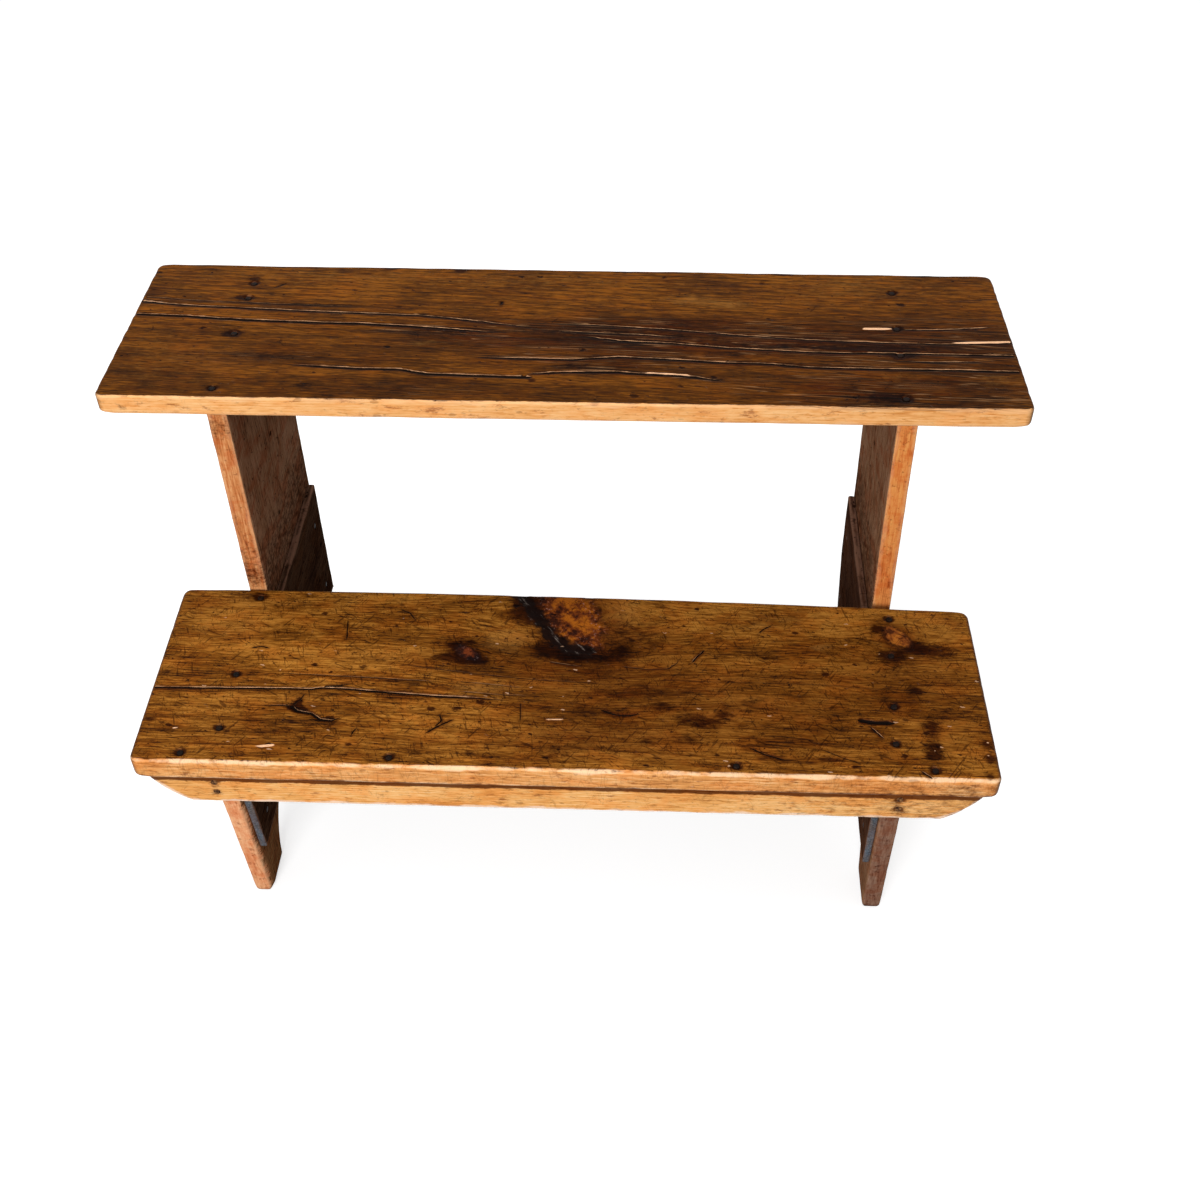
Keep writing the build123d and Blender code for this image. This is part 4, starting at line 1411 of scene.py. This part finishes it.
# %% Group: pine grain
pine_grain, g, i, o = new_group(
    "pine_grain",
    {"Grain": "vector", "Ring": "value", "Figure": "value", "Heart": "value"},
    ["Rings", "Streaks", "Lines", "Fibres", "Clouds", "Pores", "Threads"],
)
along, across, into = g.split(i["Grain"])
slow = g.minus(g.noise(i["Grain"], (0.0035, 0.016, 0.016), 2.0), 0.5)
bent = g.scaled(slow, i["Figure"], across)
deep = g.plus(into, i["Heart"])
radius = g.math("SQRT", g.plus(g.times(bent, bent), g.times(deep, deep)))
ring = g.math("FRACT", g.math("DIVIDE", radius, i["Ring"]))
late = g.times(g.ease(ring, 0.25, 0.9), g.ease(ring, 1.0, 0.92))
flow = g.join(along, g.scaled(slow, 10.0, across), into)
streaks = g.noise(flow, (0.006, 0.10, 0.10), 5.0, 0.66)
g.put(o["Rings"], g.times(late, g.ease(streaks, 0.25, 0.75)))
g.put(o["Streaks"], streaks)
g.put(o["Lines"], g.noise(flow, (0.022, 0.38, 0.38), 3.0, 0.70))
g.put(o["Fibres"], g.noise(flow, (0.055, 0.60, 0.60), 2.0, 0.6))
g.put(o["Clouds"], g.noise(i["Grain"], (0.010, 0.022, 0.022), 5.0, 0.62))
g.put(o["Threads"], g.minus(g.noise(flow, (0.0022, 0.085, 0.08), 2.0, 0.55), 0.5))
g.put(o["Pores"], g.ease(g.noise(flow, (0.07, 0.42, 0.42), 2.0, 0.6), 0.60, 0.70))
print("pine_grain:", len(pine_grain.nodes), "nodes")

# %% [markdown]
# Handling marks: small dark dents of odd sizes, hair-thin scratches that run every way but mostly
# across the grain, and tiny pale flecks of knocked wood. Cells scatter the dents; a scratch is the
# narrow band where a stretched noise passes through its middle value. More amount means more of them.

# %% Group: handling marks
DENT_LAYERS = (((0.040, 0.065, 0.07), 0.24), ((0.085, 0.16, 0.17), 0.22), ((0.17, 0.33, 0.3), 0.24))
SCRATCH_LAYERS = ((0.45, 0.026), (1.25, 0.032), (2.2, 0.028))
handling_marks, g, i, o = new_group(
    "handling_marks", {"Place": "vector", "Amount": "value"}, ["Dents", "Scratches", "Flecks"],
)
wander = g.scaled(g.noise(i["Place"], (0.22, 0.30, 0.25), 3.0, 0.6), 5.0, -2.5)
x, y, z = g.split(i["Place"])
shaky = g.join(g.scaled(wander, 1.6, x), g.minus(y, wander), z)
dents = 0.0
for pace, size in DENT_LAYERS:
    distance, odds = g.cells(shaky, pace)
    limit = g.times(g.scaled(odds[0], 0.8, 0.2), size)
    there = g.ease(g.plus(odds[1], i["Amount"]), 1.0, 1.15)
    dents = g.larger(dents, g.times(g.ease(distance, limit, g.times(limit, 0.6)), there))
g.put(o["Dents"], dents)
scratches = 0.0
for turn, pace in SCRATCH_LAYERS:
    turned = g.spin(i["Place"], turn)
    thin = g.ease(g.size(g.minus(g.noise(turned, (pace, pace * 6, 0.02), 1.0), 0.5)), 0.014, 0.004)
    some = g.ease(g.plus(g.noise(turned, (0.03, 0.06, 0.05), 1.0), i["Amount"]), 1.0, 1.1)
    scratches = g.larger(scratches, g.times(thin, some))
g.put(o["Scratches"], scratches)
distance, odds = g.cells(shaky, (0.030, 0.085, 0.09))
g.put(o["Flecks"], g.times(g.ease(distance, 0.08, 0.05), g.ease(g.plus(odds[2], i["Amount"]), 1.34, 1.39)))
print("handling_marks:", len(handling_marks.nodes), "nodes")

# %% [markdown]
# A crack seen from above is a black gap with ragged edges, painted shade in the crack with dirt; on its
# far side a thin lip of bare wood catches the light, in runs and gaps, as a painted highlight. The mesh
# knows the distance to the line, and noise frays it here.

# %% Group: crack line
crack_line, g, i, o = new_group(
    "crack_line",
    {"Place": "vector", "Distance": "value", "Width": "value", "Lip": "value"},
    ["Gap", "Bare_and_highlight", "Height"],
)
ragged = g.scaled(g.noise(i["Place"], (0.06, 0.3, 0.3), 3.0, 0.6), 1.6, -0.8)
offset = g.plus(i["Distance"], g.times(ragged, g.ease(i["Width"], 0.0, 0.8)))
half = g.scaled(i["Width"], 0.58, 0.2)
there = g.ease(i["Width"], 0.0, 0.7)
# the gap: painted shade in the crack, with dirt
gap = g.times(g.ease(g.size(offset), g.times(half, 1.5), g.times(half, 0.7)), there)
lip_far = g.plus(half, g.scaled(i["Lip"], 1.0, 0.35))
window = g.times(g.ease(offset, half, g.plus(half, 0.25)), g.ease(offset, lip_far, g.minus(lip_far, 0.4)))
runs = g.ease(g.noise(i["Place"], (0.030, 0.05, 0.05), 4.0, 0.7), 0.30, 0.62)
# bare wood on the far lip, partly a painted highlight
bare_and_highlight = g.times(window, runs, g.times(there, g.ease(i["Lip"], 0.0, 0.8)))
g.put(o["Gap"], gap)
g.put(o["Bare_and_highlight"], bare_and_highlight)
g.put(o["Height"], g.scaled(gap, -1.0, g.times(bare_and_highlight, 0.25)))
print("crack_line:", len(crack_line.nodes), "nodes")

# %% [markdown]
# A knot is the root of a branch: an oval of denser, redder wood with tight rings and a dark outline.
# The place is moved to the knot's middle, turned and squeezed, so that the oval becomes a circle of
# size 1, and then everything depends on one number, how far away from its middle a point is.

# %% Group: knot
knot_group, g, i, o = new_group(
    "knot",
    {"Place": "vector", "Centre": "vector", "Long": "value", "Short": "value", "Turn": "value"},
    ["Inside", "Outline", "Rings", "Halo", "Core"],
)
x, y, z = g.split(g.spin(g.vector("SUBTRACT", i["Place"], i["Centre"]), g.times(i["Turn"], -1.0)))
u = g.math("DIVIDE", x, i["Long"])
v = g.math("DIVIDE", y, i["Short"])
away = g.math("SQRT", g.plus(g.times(u, u), g.times(v, v)))
away = g.plus(away, g.scaled(g.noise(i["Place"], (0.06, 0.06, 0.0), 4.0, 0.6), 0.8, -0.4))
g.put(o["Inside"], g.ease(away, 1.16, 0.80))
g.put(o["Outline"], g.times(g.ease(away, 0.74, 0.98), g.ease(away, 1.30, 1.02)))
g.put(o["Halo"], g.ease(away, 2.4, 0.9))
g.put(o["Rings"], g.scaled(g.math("SINE", g.times(away, 26.0)), 0.5, 0.5))
g.put(o["Core"], g.ease(away, 0.95, 0.25))
print("knot:", len(knot_group.nodes), "nodes")

# %% [markdown]
# A board's face, its front edge and its sawn ends took the finish differently, so each has its own run
# of three colours, and the mesh says which is which. The front edge's lighter run is partly painted
# light: the strong light from the front is painted into it. The grain is first boiled down to one
# number, the tone, low in late wood, in streaks and in dirty pores. Three colours then follow it.

# %% Bare wood, and painted light on the front edges
GRAIN_SHARES = (("Streaks", 0.42), ("Lines", 0.75), ("Fibres", 0.90), ("Clouds", 0.75))


def three(dark, middle, light):
    """A run of colours from dark to light, for a number around 0.5."""
    return [(0.22, dark), (0.5, middle), (0.78, light)]


def wood_tone(g, wood, contrast):
    """One number for how dark the wood is."""
    tone = g.scaled(wood["Rings"], -0.22 * contrast, 0.58)
    for part, share in GRAIN_SHARES:
        tone = g.plus(tone, g.scaled(wood[part], share * contrast, -0.5 * share * contrast))
    return g.minus(tone, g.times(wood["Pores"], 0.26 * contrast))


def front_edge(g, place, facing):
    """How much a point belongs to the front edge, with a ragged border along the arris."""
    ragged = g.scaled(g.noise(place, (0.07, 0.3, 0.3), 4.0, 0.65), 2.4, -1.2)
    turning = g.times(g.ease(facing, 0.0, 0.3), g.ease(facing, 1.0, 0.7))
    return g.ease(g.scaled(ragged, turning, facing), 0.10, 0.65)


def bare_wood_and_lit_front(g, wood, place, on_front, contrast, face, front, end):
    """The colours of face, front edge and sawn end; the front edge's lighter colours are partly painted
    light.
    """
    tone = wood_tone(g, wood, contrast)
    skin = g.ramp(tone, three(*face))
    # the front edge's lighter run of colours: partly painted light from the front
    skin = g.mix(on_front, skin, g.ramp(g.scaled(tone, 0.72, 0.15), three(*front)))
    speckle = g.noise(place, (0.5, 0.5, 0.5), 4.0, 0.7)
    mottle = g.scaled(speckle, 0.7, g.times(wood["Clouds"], 0.3))
    return g.mix(g.kept("end"), skin, g.ramp(mottle, three(*end)))


print("shares of the grain:", dict(GRAIN_SHARES))

# %% [markdown]
# Then the years. The finish has reddened in clouds, the front edges are bruised, and along the arrises
# it is rubbed through to pale wood in patches, whose paleness is partly a painted highlight on the
# rounded arris. Paint on a front edge stops the rubbing there.

# %% Reddened, bruised, rubbed, with painted arris highlights


def reddened_and_bruised(g, skin, place, on_front, amount, red):
    bruised = g.ease(g.noise(place, (0.045, 0.13, 0.13), 5.0, 0.7), 0.57, 0.68)
    skin = g.stain(skin, g.times(bruised, g.times(on_front, 0.6)), "#8c5c54")
    glow = g.ease(g.noise(place, (0.022, 0.05, 0.05), 4.0, 0.65), 0.44, 0.62)
    return g.stain(skin, g.times(glow, amount), red)


def rubbed_and_highlit_edges(g, place, on_front, rubbing_and_highlight, painted):
    """How far the finish is rubbed through, in patches along the arrises, with a painted highlight there."""
    patches = g.noise(place, (0.03, 0.03, 0.05), 4.0, 0.6)
    arris = g.plus(g.kept("arris"), g.scaled(patches, -13.0, 6.5))
    return g.times(g.ease(arris, 4.8, 1.3), rubbing_and_highlight, g.scaled(on_front, -painted, 1.0))


print("ageing: reddened, bruised, rubbed")

# %% [markdown]
# The shelves' faces have more: shadows that follow the grain, and a haze where the finish has worn
# thin, which along the top shelf's back is a painted sheen. The top shelf has also split into
# hair-fine threads, dark ones with a pale one beside them.
# All boards have dirt, whose soft patches come from the mesh and get their ragged edges here; where
# boards meet, the same patches carry painted shade.

# %% Shadows, threads, haze and painted sheen, dirt and painted shade


def shadows(g, skin, wood):
    thread = g.plus(g.scaled(wood["Lines"], 2.4, -0.6), g.scaled(wood["Streaks"], 1.8, -0.55))
    return g.stain(skin, g.times(g.kept("shade"), thread), "#8c7058")


def fine_splits(g, skin, wood, place):
    split = g.ease(g.kept("shade"), 0.22, 0.60)
    dark = g.ease(g.math("PINGPONG", wood["Threads"], 0.05), 0.014, 0.005)
    skin = g.paint(skin, g.times(dark, split, 0.8), "#140a05")
    broken = g.ease(g.noise(place, (0.012, 0.05, 0.05), 3.0, 0.6), 0.42, 0.56)
    pale = g.ease(g.math("PINGPONG", g.minus(wood["Threads"], 0.018), 0.05), 0.007, 0.002)
    return g.paint(skin, g.times(pale, split, broken, 0.42), "#a87c54")


def haze_and_sheen(g, skin, place):
    # worn haze, and on the top shelf's back a painted sheen
    cloud = g.scaled(g.noise(place, (0.09, 0.14, 0.1), 5.0, 0.65), 1.5, -0.75)
    hazy_and_sheen = g.times(g.ease(g.plus(g.kept("pale"), cloud), 0.1, 0.9), 0.45)
    return g.mix(hazy_and_sheen, skin, g.mix(0.5, skin, colour("#a87638")))


def dirt_and_shade(g, skin, place):
    blot = g.scaled(g.noise(place, (0.10, 0.22, 0.15), 6.0, 0.72), 2.4, -1.2)
    # the stain attribute also carries painted shade where boards meet
    dirt_and_shade_amount = g.ease(g.scaled(blot, 0.78, g.kept("stain")), 0.24, 0.96)
    return g.stain(skin, g.times(dirt_and_shade_amount, 0.9), "#542b1b")


print("dirt: shadows, fine splits, haze, blots")

# %% [markdown]
# Knots and bark. Inside a knot the colour goes from dark to bright in patches, with a crust of pale
# dirt; its outline is nearly black, and the wood around it is darker. The bark beside the big knot is
# black too, with grey wisps across it.

# %% Knots and bark
BARK_TURN = math.radians(52)


def add_knot(g, skin, wood, place, knot):
    look = g.use(knot_group, Place=place, Centre=(knot["x"], knot["y"], 0.0), Long=knot["long"],
                 Short=knot["short"], Turn=math.radians(knot["turn"]))
    patch = g.noise(place, (0.055, 0.055, 0.05), 3.0, 0.6)
    speck = g.noise(place, (0.28, 0.28, 0.25), 4.0, 0.75)
    warm = g.scaled(patch, 1.6, g.scaled(speck, 0.4, -0.53))
    warm = g.scaled(look["Core"], 0.12, g.scaled(look["Rings"], 0.04, warm))
    heart_wood = g.ramp(warm, list(zip((0.38, 0.52, 0.70), knot["tones"])))
    crust = g.times(g.ease(look["Core"], 0.75, 0.15), g.ease(speck, 0.58, 0.66), knot["crust"])
    heart_wood = g.paint(heart_wood, crust, "#907068")
    skin = g.stain(skin, g.times(look["Halo"], g.scaled(wood["Lines"], 1.0, 0.1)), "#8c5634")
    skin = g.mix(look["Inside"], skin, heart_wood)
    return g.paint(skin, g.times(look["Outline"], g.ease(speck, 0.66, 0.40), knot["rim"]), "#190905")


def add_bark(g, skin, place):
    bark_noise = g.noise(place, (0.10, 0.16, 0.2), 5.0, 0.7)
    black = g.ease(g.plus(g.kept("bark"), g.scaled(bark_noise, 1.8, -0.9)), 0.10, 0.75)
    wisps = g.noise(g.spin(place, BARK_TURN), (0.03, 0.26, 0.2), 3.0, 0.6)
    wisps = g.times(g.ease(wisps, 0.56, 0.66), g.ease(bark_noise, 0.45, 0.6), 0.45)
    return g.mix(g.times(black, 0.97), skin, g.mix(wisps, colour("#120806"), colour("#8a7d74")))


print("knots to draw:", len(LOWER_KNOTS))

# %% [markdown]
# Marks of use come over all of that, because they are the youngest: dents and scratches in the finish,
# and at last the cracks, whose gaps are painted darker than anything else, as shade with dirt, and whose
# lips are bare wood with a painted highlight.

# %% Marks and cracks


def add_marks(g, skin, marked, on_front):
    dark = g.larger(marked["Dents"], g.times(marked["Scratches"], 0.7))
    dark = g.times(dark, g.scaled(on_front, -0.6, 0.92))
    skin = g.stain(skin, dark, "#50301e")
    return g.paint(skin, g.times(marked["Flecks"], 0.6), "#c49c7c")


def add_cracks(g, skin, place):
    """The colour with cracks and splinters, painted shade in the gaps and painted highlights on the lips, and
    how deep the cracks are.
    """
    crack = g.use(crack_line, Place=place, Distance=g.kept("crack_mm"), Width=g.kept("crack_wide"),
                  Lip=g.kept("crack_lip"))
    # the crack's far lip: bare wood and a painted highlight
    skin = g.paint(skin, g.times(crack["Bare_and_highlight"], 0.9), "#bc8c64")
    frayed = g.scaled(g.noise(place, (0.1, 0.6, 0.3), 3.0), 0.5, -0.25)
    # splinters: pale wood, partly a painted highlight
    skin = g.paint(skin, g.ease(g.plus(g.kept("splinter_and_highlight"), frayed), 0.35, 0.6), "#dfae86")
    # the gap's near black is painted shade in the crack, with dirt
    return g.paint(skin, crack["Gap"], "#0b0503"), crack["Height"]


print("marks: dents, scratches, flecks, splinters, cracks")

# %% [markdown]
# Here the layers are put on in the order in which they came to the bench. Every board has a material of
# its own, because no two boards of such a bench are alike. The wood hardly shines any more, so most
# boards have no shine at all, and their roughness follows the streaks.

# %% Pine


def bare_material(name):
    material = bpy.data.materials.new(name)
    material.use_nodes = True
    return material, Graph(material.node_tree), material.node_tree.nodes["Principled BSDF"]


def pine(name, face, front, end, rubbed_and_highlit, marks, rubbing_and_highlight, ring, figure, heart=45.0, contrast=1.0,
         reddened=0.7, red="#ffe6cc", painted=0.0, lines=False, splits=False, knots=(), shine=0.0):
    """The material of one board. Its run of colours goes from dark to light."""
    material, g, shader = bare_material(name)
    place, facing = g.kept("place", "Vector"), g.kept("front")
    wood = g.use(pine_grain, Grain=g.kept("grain", "Vector"), Ring=ring, Figure=figure, Heart=heart)
    marked = g.use(handling_marks, Place=place, Amount=marks)
    on_front = front_edge(g, place, facing)
    skin = bare_wood_and_lit_front(g, wood, place, on_front, contrast, face, front, end)
    skin = reddened_and_bruised(g, skin, place, on_front, reddened, red)
    # pale rubbed wood along the arrises, partly a painted highlight
    rub_and_highlight = rubbed_and_highlit_edges(g, place, on_front, rubbing_and_highlight, painted)
    if lines:
        rub_and_highlight = g.times(rub_and_highlight, g.ease(facing, 0.02, 0.35))
    skin = g.paint(skin, rub_and_highlight, rubbed_and_highlit)
    if lines:
        skin = shadows(g, skin, wood)
        if splits:
            skin = fine_splits(g, skin, wood, place)
        skin = haze_and_sheen(g, skin, place)
    skin = dirt_and_shade(g, skin, place)
    for knot in knots:
        skin = add_knot(g, skin, wood, place, knot)
    if lines:
        skin = add_bark(g, skin, place)
    skin = add_marks(g, skin, marked, on_front)
    height = g.scaled(wood["Lines"], 0.10, g.times(wood["Pores"], -0.06))
    height = g.minus(height, g.times(marked["Dents"], 0.35))
    if lines:
        skin, crack_height = add_cracks(g, skin, place)
        height = g.plus(height, crack_height)
    g.emboss(shader, height, MM)
    g.put(shader.inputs["Base Color"], skin)
    g.put(shader.inputs["Roughness"], g.scaled(wood["Streaks"], 0.25, 0.33))
    shader.inputs["Specular IOR Level"].default_value = shine
    print(f"{name}: {len(material.node_tree.nodes)} nodes")
    return material


def dress(piece, material):
    piece.data.materials.clear()
    piece.data.materials.append(material)


# %% [markdown]
# The shelves. Their faces are dark with old finish and their front edges light, rubbed by everything
# that was lifted over them and lighter still by painted light from the front. The lower one is the
# lighter, and has the knots.

# %% Shelves
SAWN = ("#2a160a", "#54321a", "#805432")
dress(top_board, pine(
    "top_shelf_pine", ("#241004", "#4e2b08", "#7e4912"), ("#c07a38", "#e0a364", "#ecbc84"), SAWN, "#e8bc90",
    ring=3.2, figure=26.0, heart=60.0, marks=0.32, rubbing_and_highlight=0.35, reddened=0.4, lines=True, splits=True,
    shine=0.02))
dress(lower_board, pine(
    "lower_shelf_pine", ("#261006", "#70410f", "#a66e2a"), ("#90582c", "#d08f50", "#e8b882"), SAWN, "#f0cca6",
    ring=4.0, figure=34.0, heart=40.0, marks=0.6, rubbing_and_highlight=0.7, lines=True, knots=LOWER_KNOTS, shine=0.02))

# %% [markdown]
# The apron is the palest board, its front face lighter partly by painted light from the front. The end
# boards' faces are brown, darker on the left front leg than on the other three, and each front edge has
# its own colour, lighter in part by painted light from the front; the right front leg's is grey brown
# and the darkest. The battens are nearly black inside, and a bluish grey paint is left on their front
# edges.
# The colours are kept in tables by board, so that one loop can dress them all.

# %% Apron, end boards and battens
GREY_PAINT = ("#1c2026", "#48505a", "#848e98")
DARKER, LIGHTER = ("#301c10", "#805636", "#9c7048"), ("#38241a", "#946a4c", "#b0866a")
END_BOARDS = {                 # the colours of the face, and those of the front edge
    "front_leg_left": (DARKER, ("#b06c40", "#dc9c70", "#e8b488")),
    "front_leg_right": (LIGHTER, ("#3c261c", "#765444", "#987a66")),
    "upright_left": (LIGHTER, ("#74402a", "#bc7644", "#dca470")),
    "upright_right": (LIGHTER, ("#944c20", "#cc7c40", "#dc9c56")),
}
BATTEN_FACES = {"left": ("#1c100c", "#40291d", "#58402f"), "right": ("#2a1a12", "#4e3226", "#684836")}

dress(bpy.data.objects["apron_board"], pine(
    "apron_pine", ("#5a3414", "#8a5a2a", "#a8733a"), ("#a4682e", "#da9c58", "#ecc086"),
    ("#8a5426", "#c08448", "#dca468"), "#ecd2bc", ring=3.0, figure=10.0, marks=0.45, rubbing_and_highlight=0.8))
for node, (face, front) in END_BOARDS.items():
    worn = node == "front_leg_right"
    dress(bpy.data.objects[node + "_plank"], pine(
        node + "_pine", face, front, ("#3a2416", "#5e3c26", "#805638"), "#e0b48c",
        ring=3.6, figure=16.0, marks=0.4, rubbing_and_highlight=0.05 if worn else 0.22, contrast=0.6 if worn else 0.9,
        red="#ecc0a8"))
for side, inner in BATTEN_FACES.items():
    dress(bpy.data.objects[f"batten_{side}_board"], pine(
        f"batten_{side}_pine", inner, GREY_PAINT, GREY_PAINT, "#8a6450", ring=4.0, figure=16.0, marks=0.5,
        rubbing_and_highlight=0.75, painted=0.75))

# %% [markdown]
# Iron that has been in oiled wood for a century is near black, with brown rust in its hollows and
# hardly any shine. A metal shader would mirror the white room, so it is drawn as a dark, dull surface.
# The heads in the apron are small and filled over with wax and dirt, so they hardly show.

# %% Iron
PIT_DEPTH = 0.0004             # metres
IRON_TONES = [(0.35, "#0a0605"), (0.55, "#150c08"), (0.75, "#2c170c")]
WAX_TONES = [(0.36, "#1a0f0a"), (0.50, "#4e321f"), (0.66, "#9a6c40")]


def nail_material(name, tones, patches, pits):
    """A dull material. Its patches of colour and its pits are each (pace per metre, detail, roughness)."""
    material, g, shader = bare_material(name)
    where = g.add("TexCoord").outputs["Object"]
    patches, pits = (g.noise(where, (pace, pace, pace), *rest) for pace, *rest in (patches, pits))
    g.put(shader.inputs["Base Color"], g.ramp(patches, tones))
    shader.inputs["Specular IOR Level"].default_value = 0.05
    g.emboss(shader, pits, PIT_DEPTH)
    return material, g, shader, pits


iron, g, shader, pits = nail_material("nail_iron", IRON_TONES, (260.0, 3.0, 0.6), (900.0, 4.0, 0.65))
g.put(shader.inputs["Roughness"], g.scaled(pits, 0.4, 0.28))
filled, g, shader, pits = nail_material("filled_nail_head", WAX_TONES, (420.0, 4.0, 0.7), (420.0, 4.0, 0.7))
shader.inputs["Roughness"].default_value = 0.6
for piece in nail_pieces:
    dress(piece, filled if piece.name.startswith("apron") else iron)
print("iron on", len(nail_pieces), "pieces, two of them filled over")

# %% [markdown]
# The studio floor stays white to the camera but throws little light back up: a plain white floor
# would light the bench from below and wash out its shadows. The Light Path node tells the two apart.

# %% Floor


def seen_directly(g):
    """1 for what the camera sees, itself, mirrored or through glass, and 0 for light on its way."""
    ray = g.add("LightPath").outputs
    return g.larger(ray["Is Camera Ray"], g.larger(ray["Is Glossy Ray"], ray["Is Transmission Ray"]))


bm = bmesh.new()
bmesh.ops.create_grid(bm, x_segments=2, y_segments=2, size=9.0)
floor = bpy.data.objects.new("floor", as_mesh(bm, "floor"))
scene.collection.objects.link(floor)
white, g, shader = bare_material("floor_white")
to_camera = seen_directly(g)
g.put(shader.inputs["Base Color"], g.mix(to_camera, (0.34, 0.33, 0.32, 1), (0.62, 0.62, 0.62, 1)))
g.put(shader.inputs["Emission Color"], g.mix(to_camera, (0, 0, 0, 1), (1, 1, 1, 1)))
shader.inputs["Emission Strength"].default_value = 0.64
shader.inputs["Roughness"].default_value = 0.9
shader.inputs["Specular IOR Level"].default_value = 0.0
dress(floor, white)
print("floor is", tuple(round(side, 1) for side in floor.dimensions), "m")

# %% [markdown]
# A broad soft light stands in front, a little to the left, and a second one hangs above. The one in
# front is stronger, so the boards' front edges, whose colours already hold painted light from the
# front, are the brightest part. The world is white to the camera, and weaker as a light.

# %% Light


def soft_light(name, place, target, size, power):
    lamp = bpy.data.objects.new(name, bpy.data.lights.new(name, "AREA"))
    lamp.data.shape = "DISK"
    lamp.data.size = size
    lamp.data.energy = power
    lamp.location = place
    lamp.rotation_euler = (Vector(target) - Vector(place)).to_track_quat("-Z", "Y").to_euler()
    scene.collection.objects.link(lamp)
    print(f"{name}: {power} W, {size} m wide")


soft_light("key", (-0.5, -2.7, 1.5), (0, 0, 0.3), 1.5, 74)
soft_light("top", (-0.4, 0.1, 3.0), (0, 0, 0.2), 2.2, 56)

world = bpy.data.worlds.new("room")
scene.world = world
world.use_nodes = True
g = Graph(world.node_tree)
background = world.node_tree.nodes["Background"]
background.inputs["Color"].default_value = (1, 1, 1, 1)
g.put(background.inputs["Strength"], g.scaled(seen_directly(g), 0.62, 0.38))

# %% [markdown]
# The camera looks down on the bench from about 1.4 m, the eye height of someone who bends to it. Its
# turn is put together from three plain ones: round, up from straight down, and a slight tilt.

# %% Camera
camera = bpy.data.objects.new("camera", bpy.data.cameras.new("camera"))
scene.collection.objects.link(camera)
camera.data.sensor_width = 36.0
camera.data.lens = 42.57
turn = (Matrix.Rotation(math.radians(2.76), 4, "Z")
        @ Matrix.Rotation(math.radians(46.318), 4, "X")
        @ Matrix.Rotation(math.radians(-0.731), 4, "Z"))
camera.matrix_world = Matrix.Translation((0.0913, -1.1220, 1.3552)) @ turn
scene.camera = camera
scene.view_settings.view_transform = "Standard"
print("camera lens:", camera.data.lens, "mm")

# %% [markdown]
# The worn bench must not be larger than the sound one that it stands for.
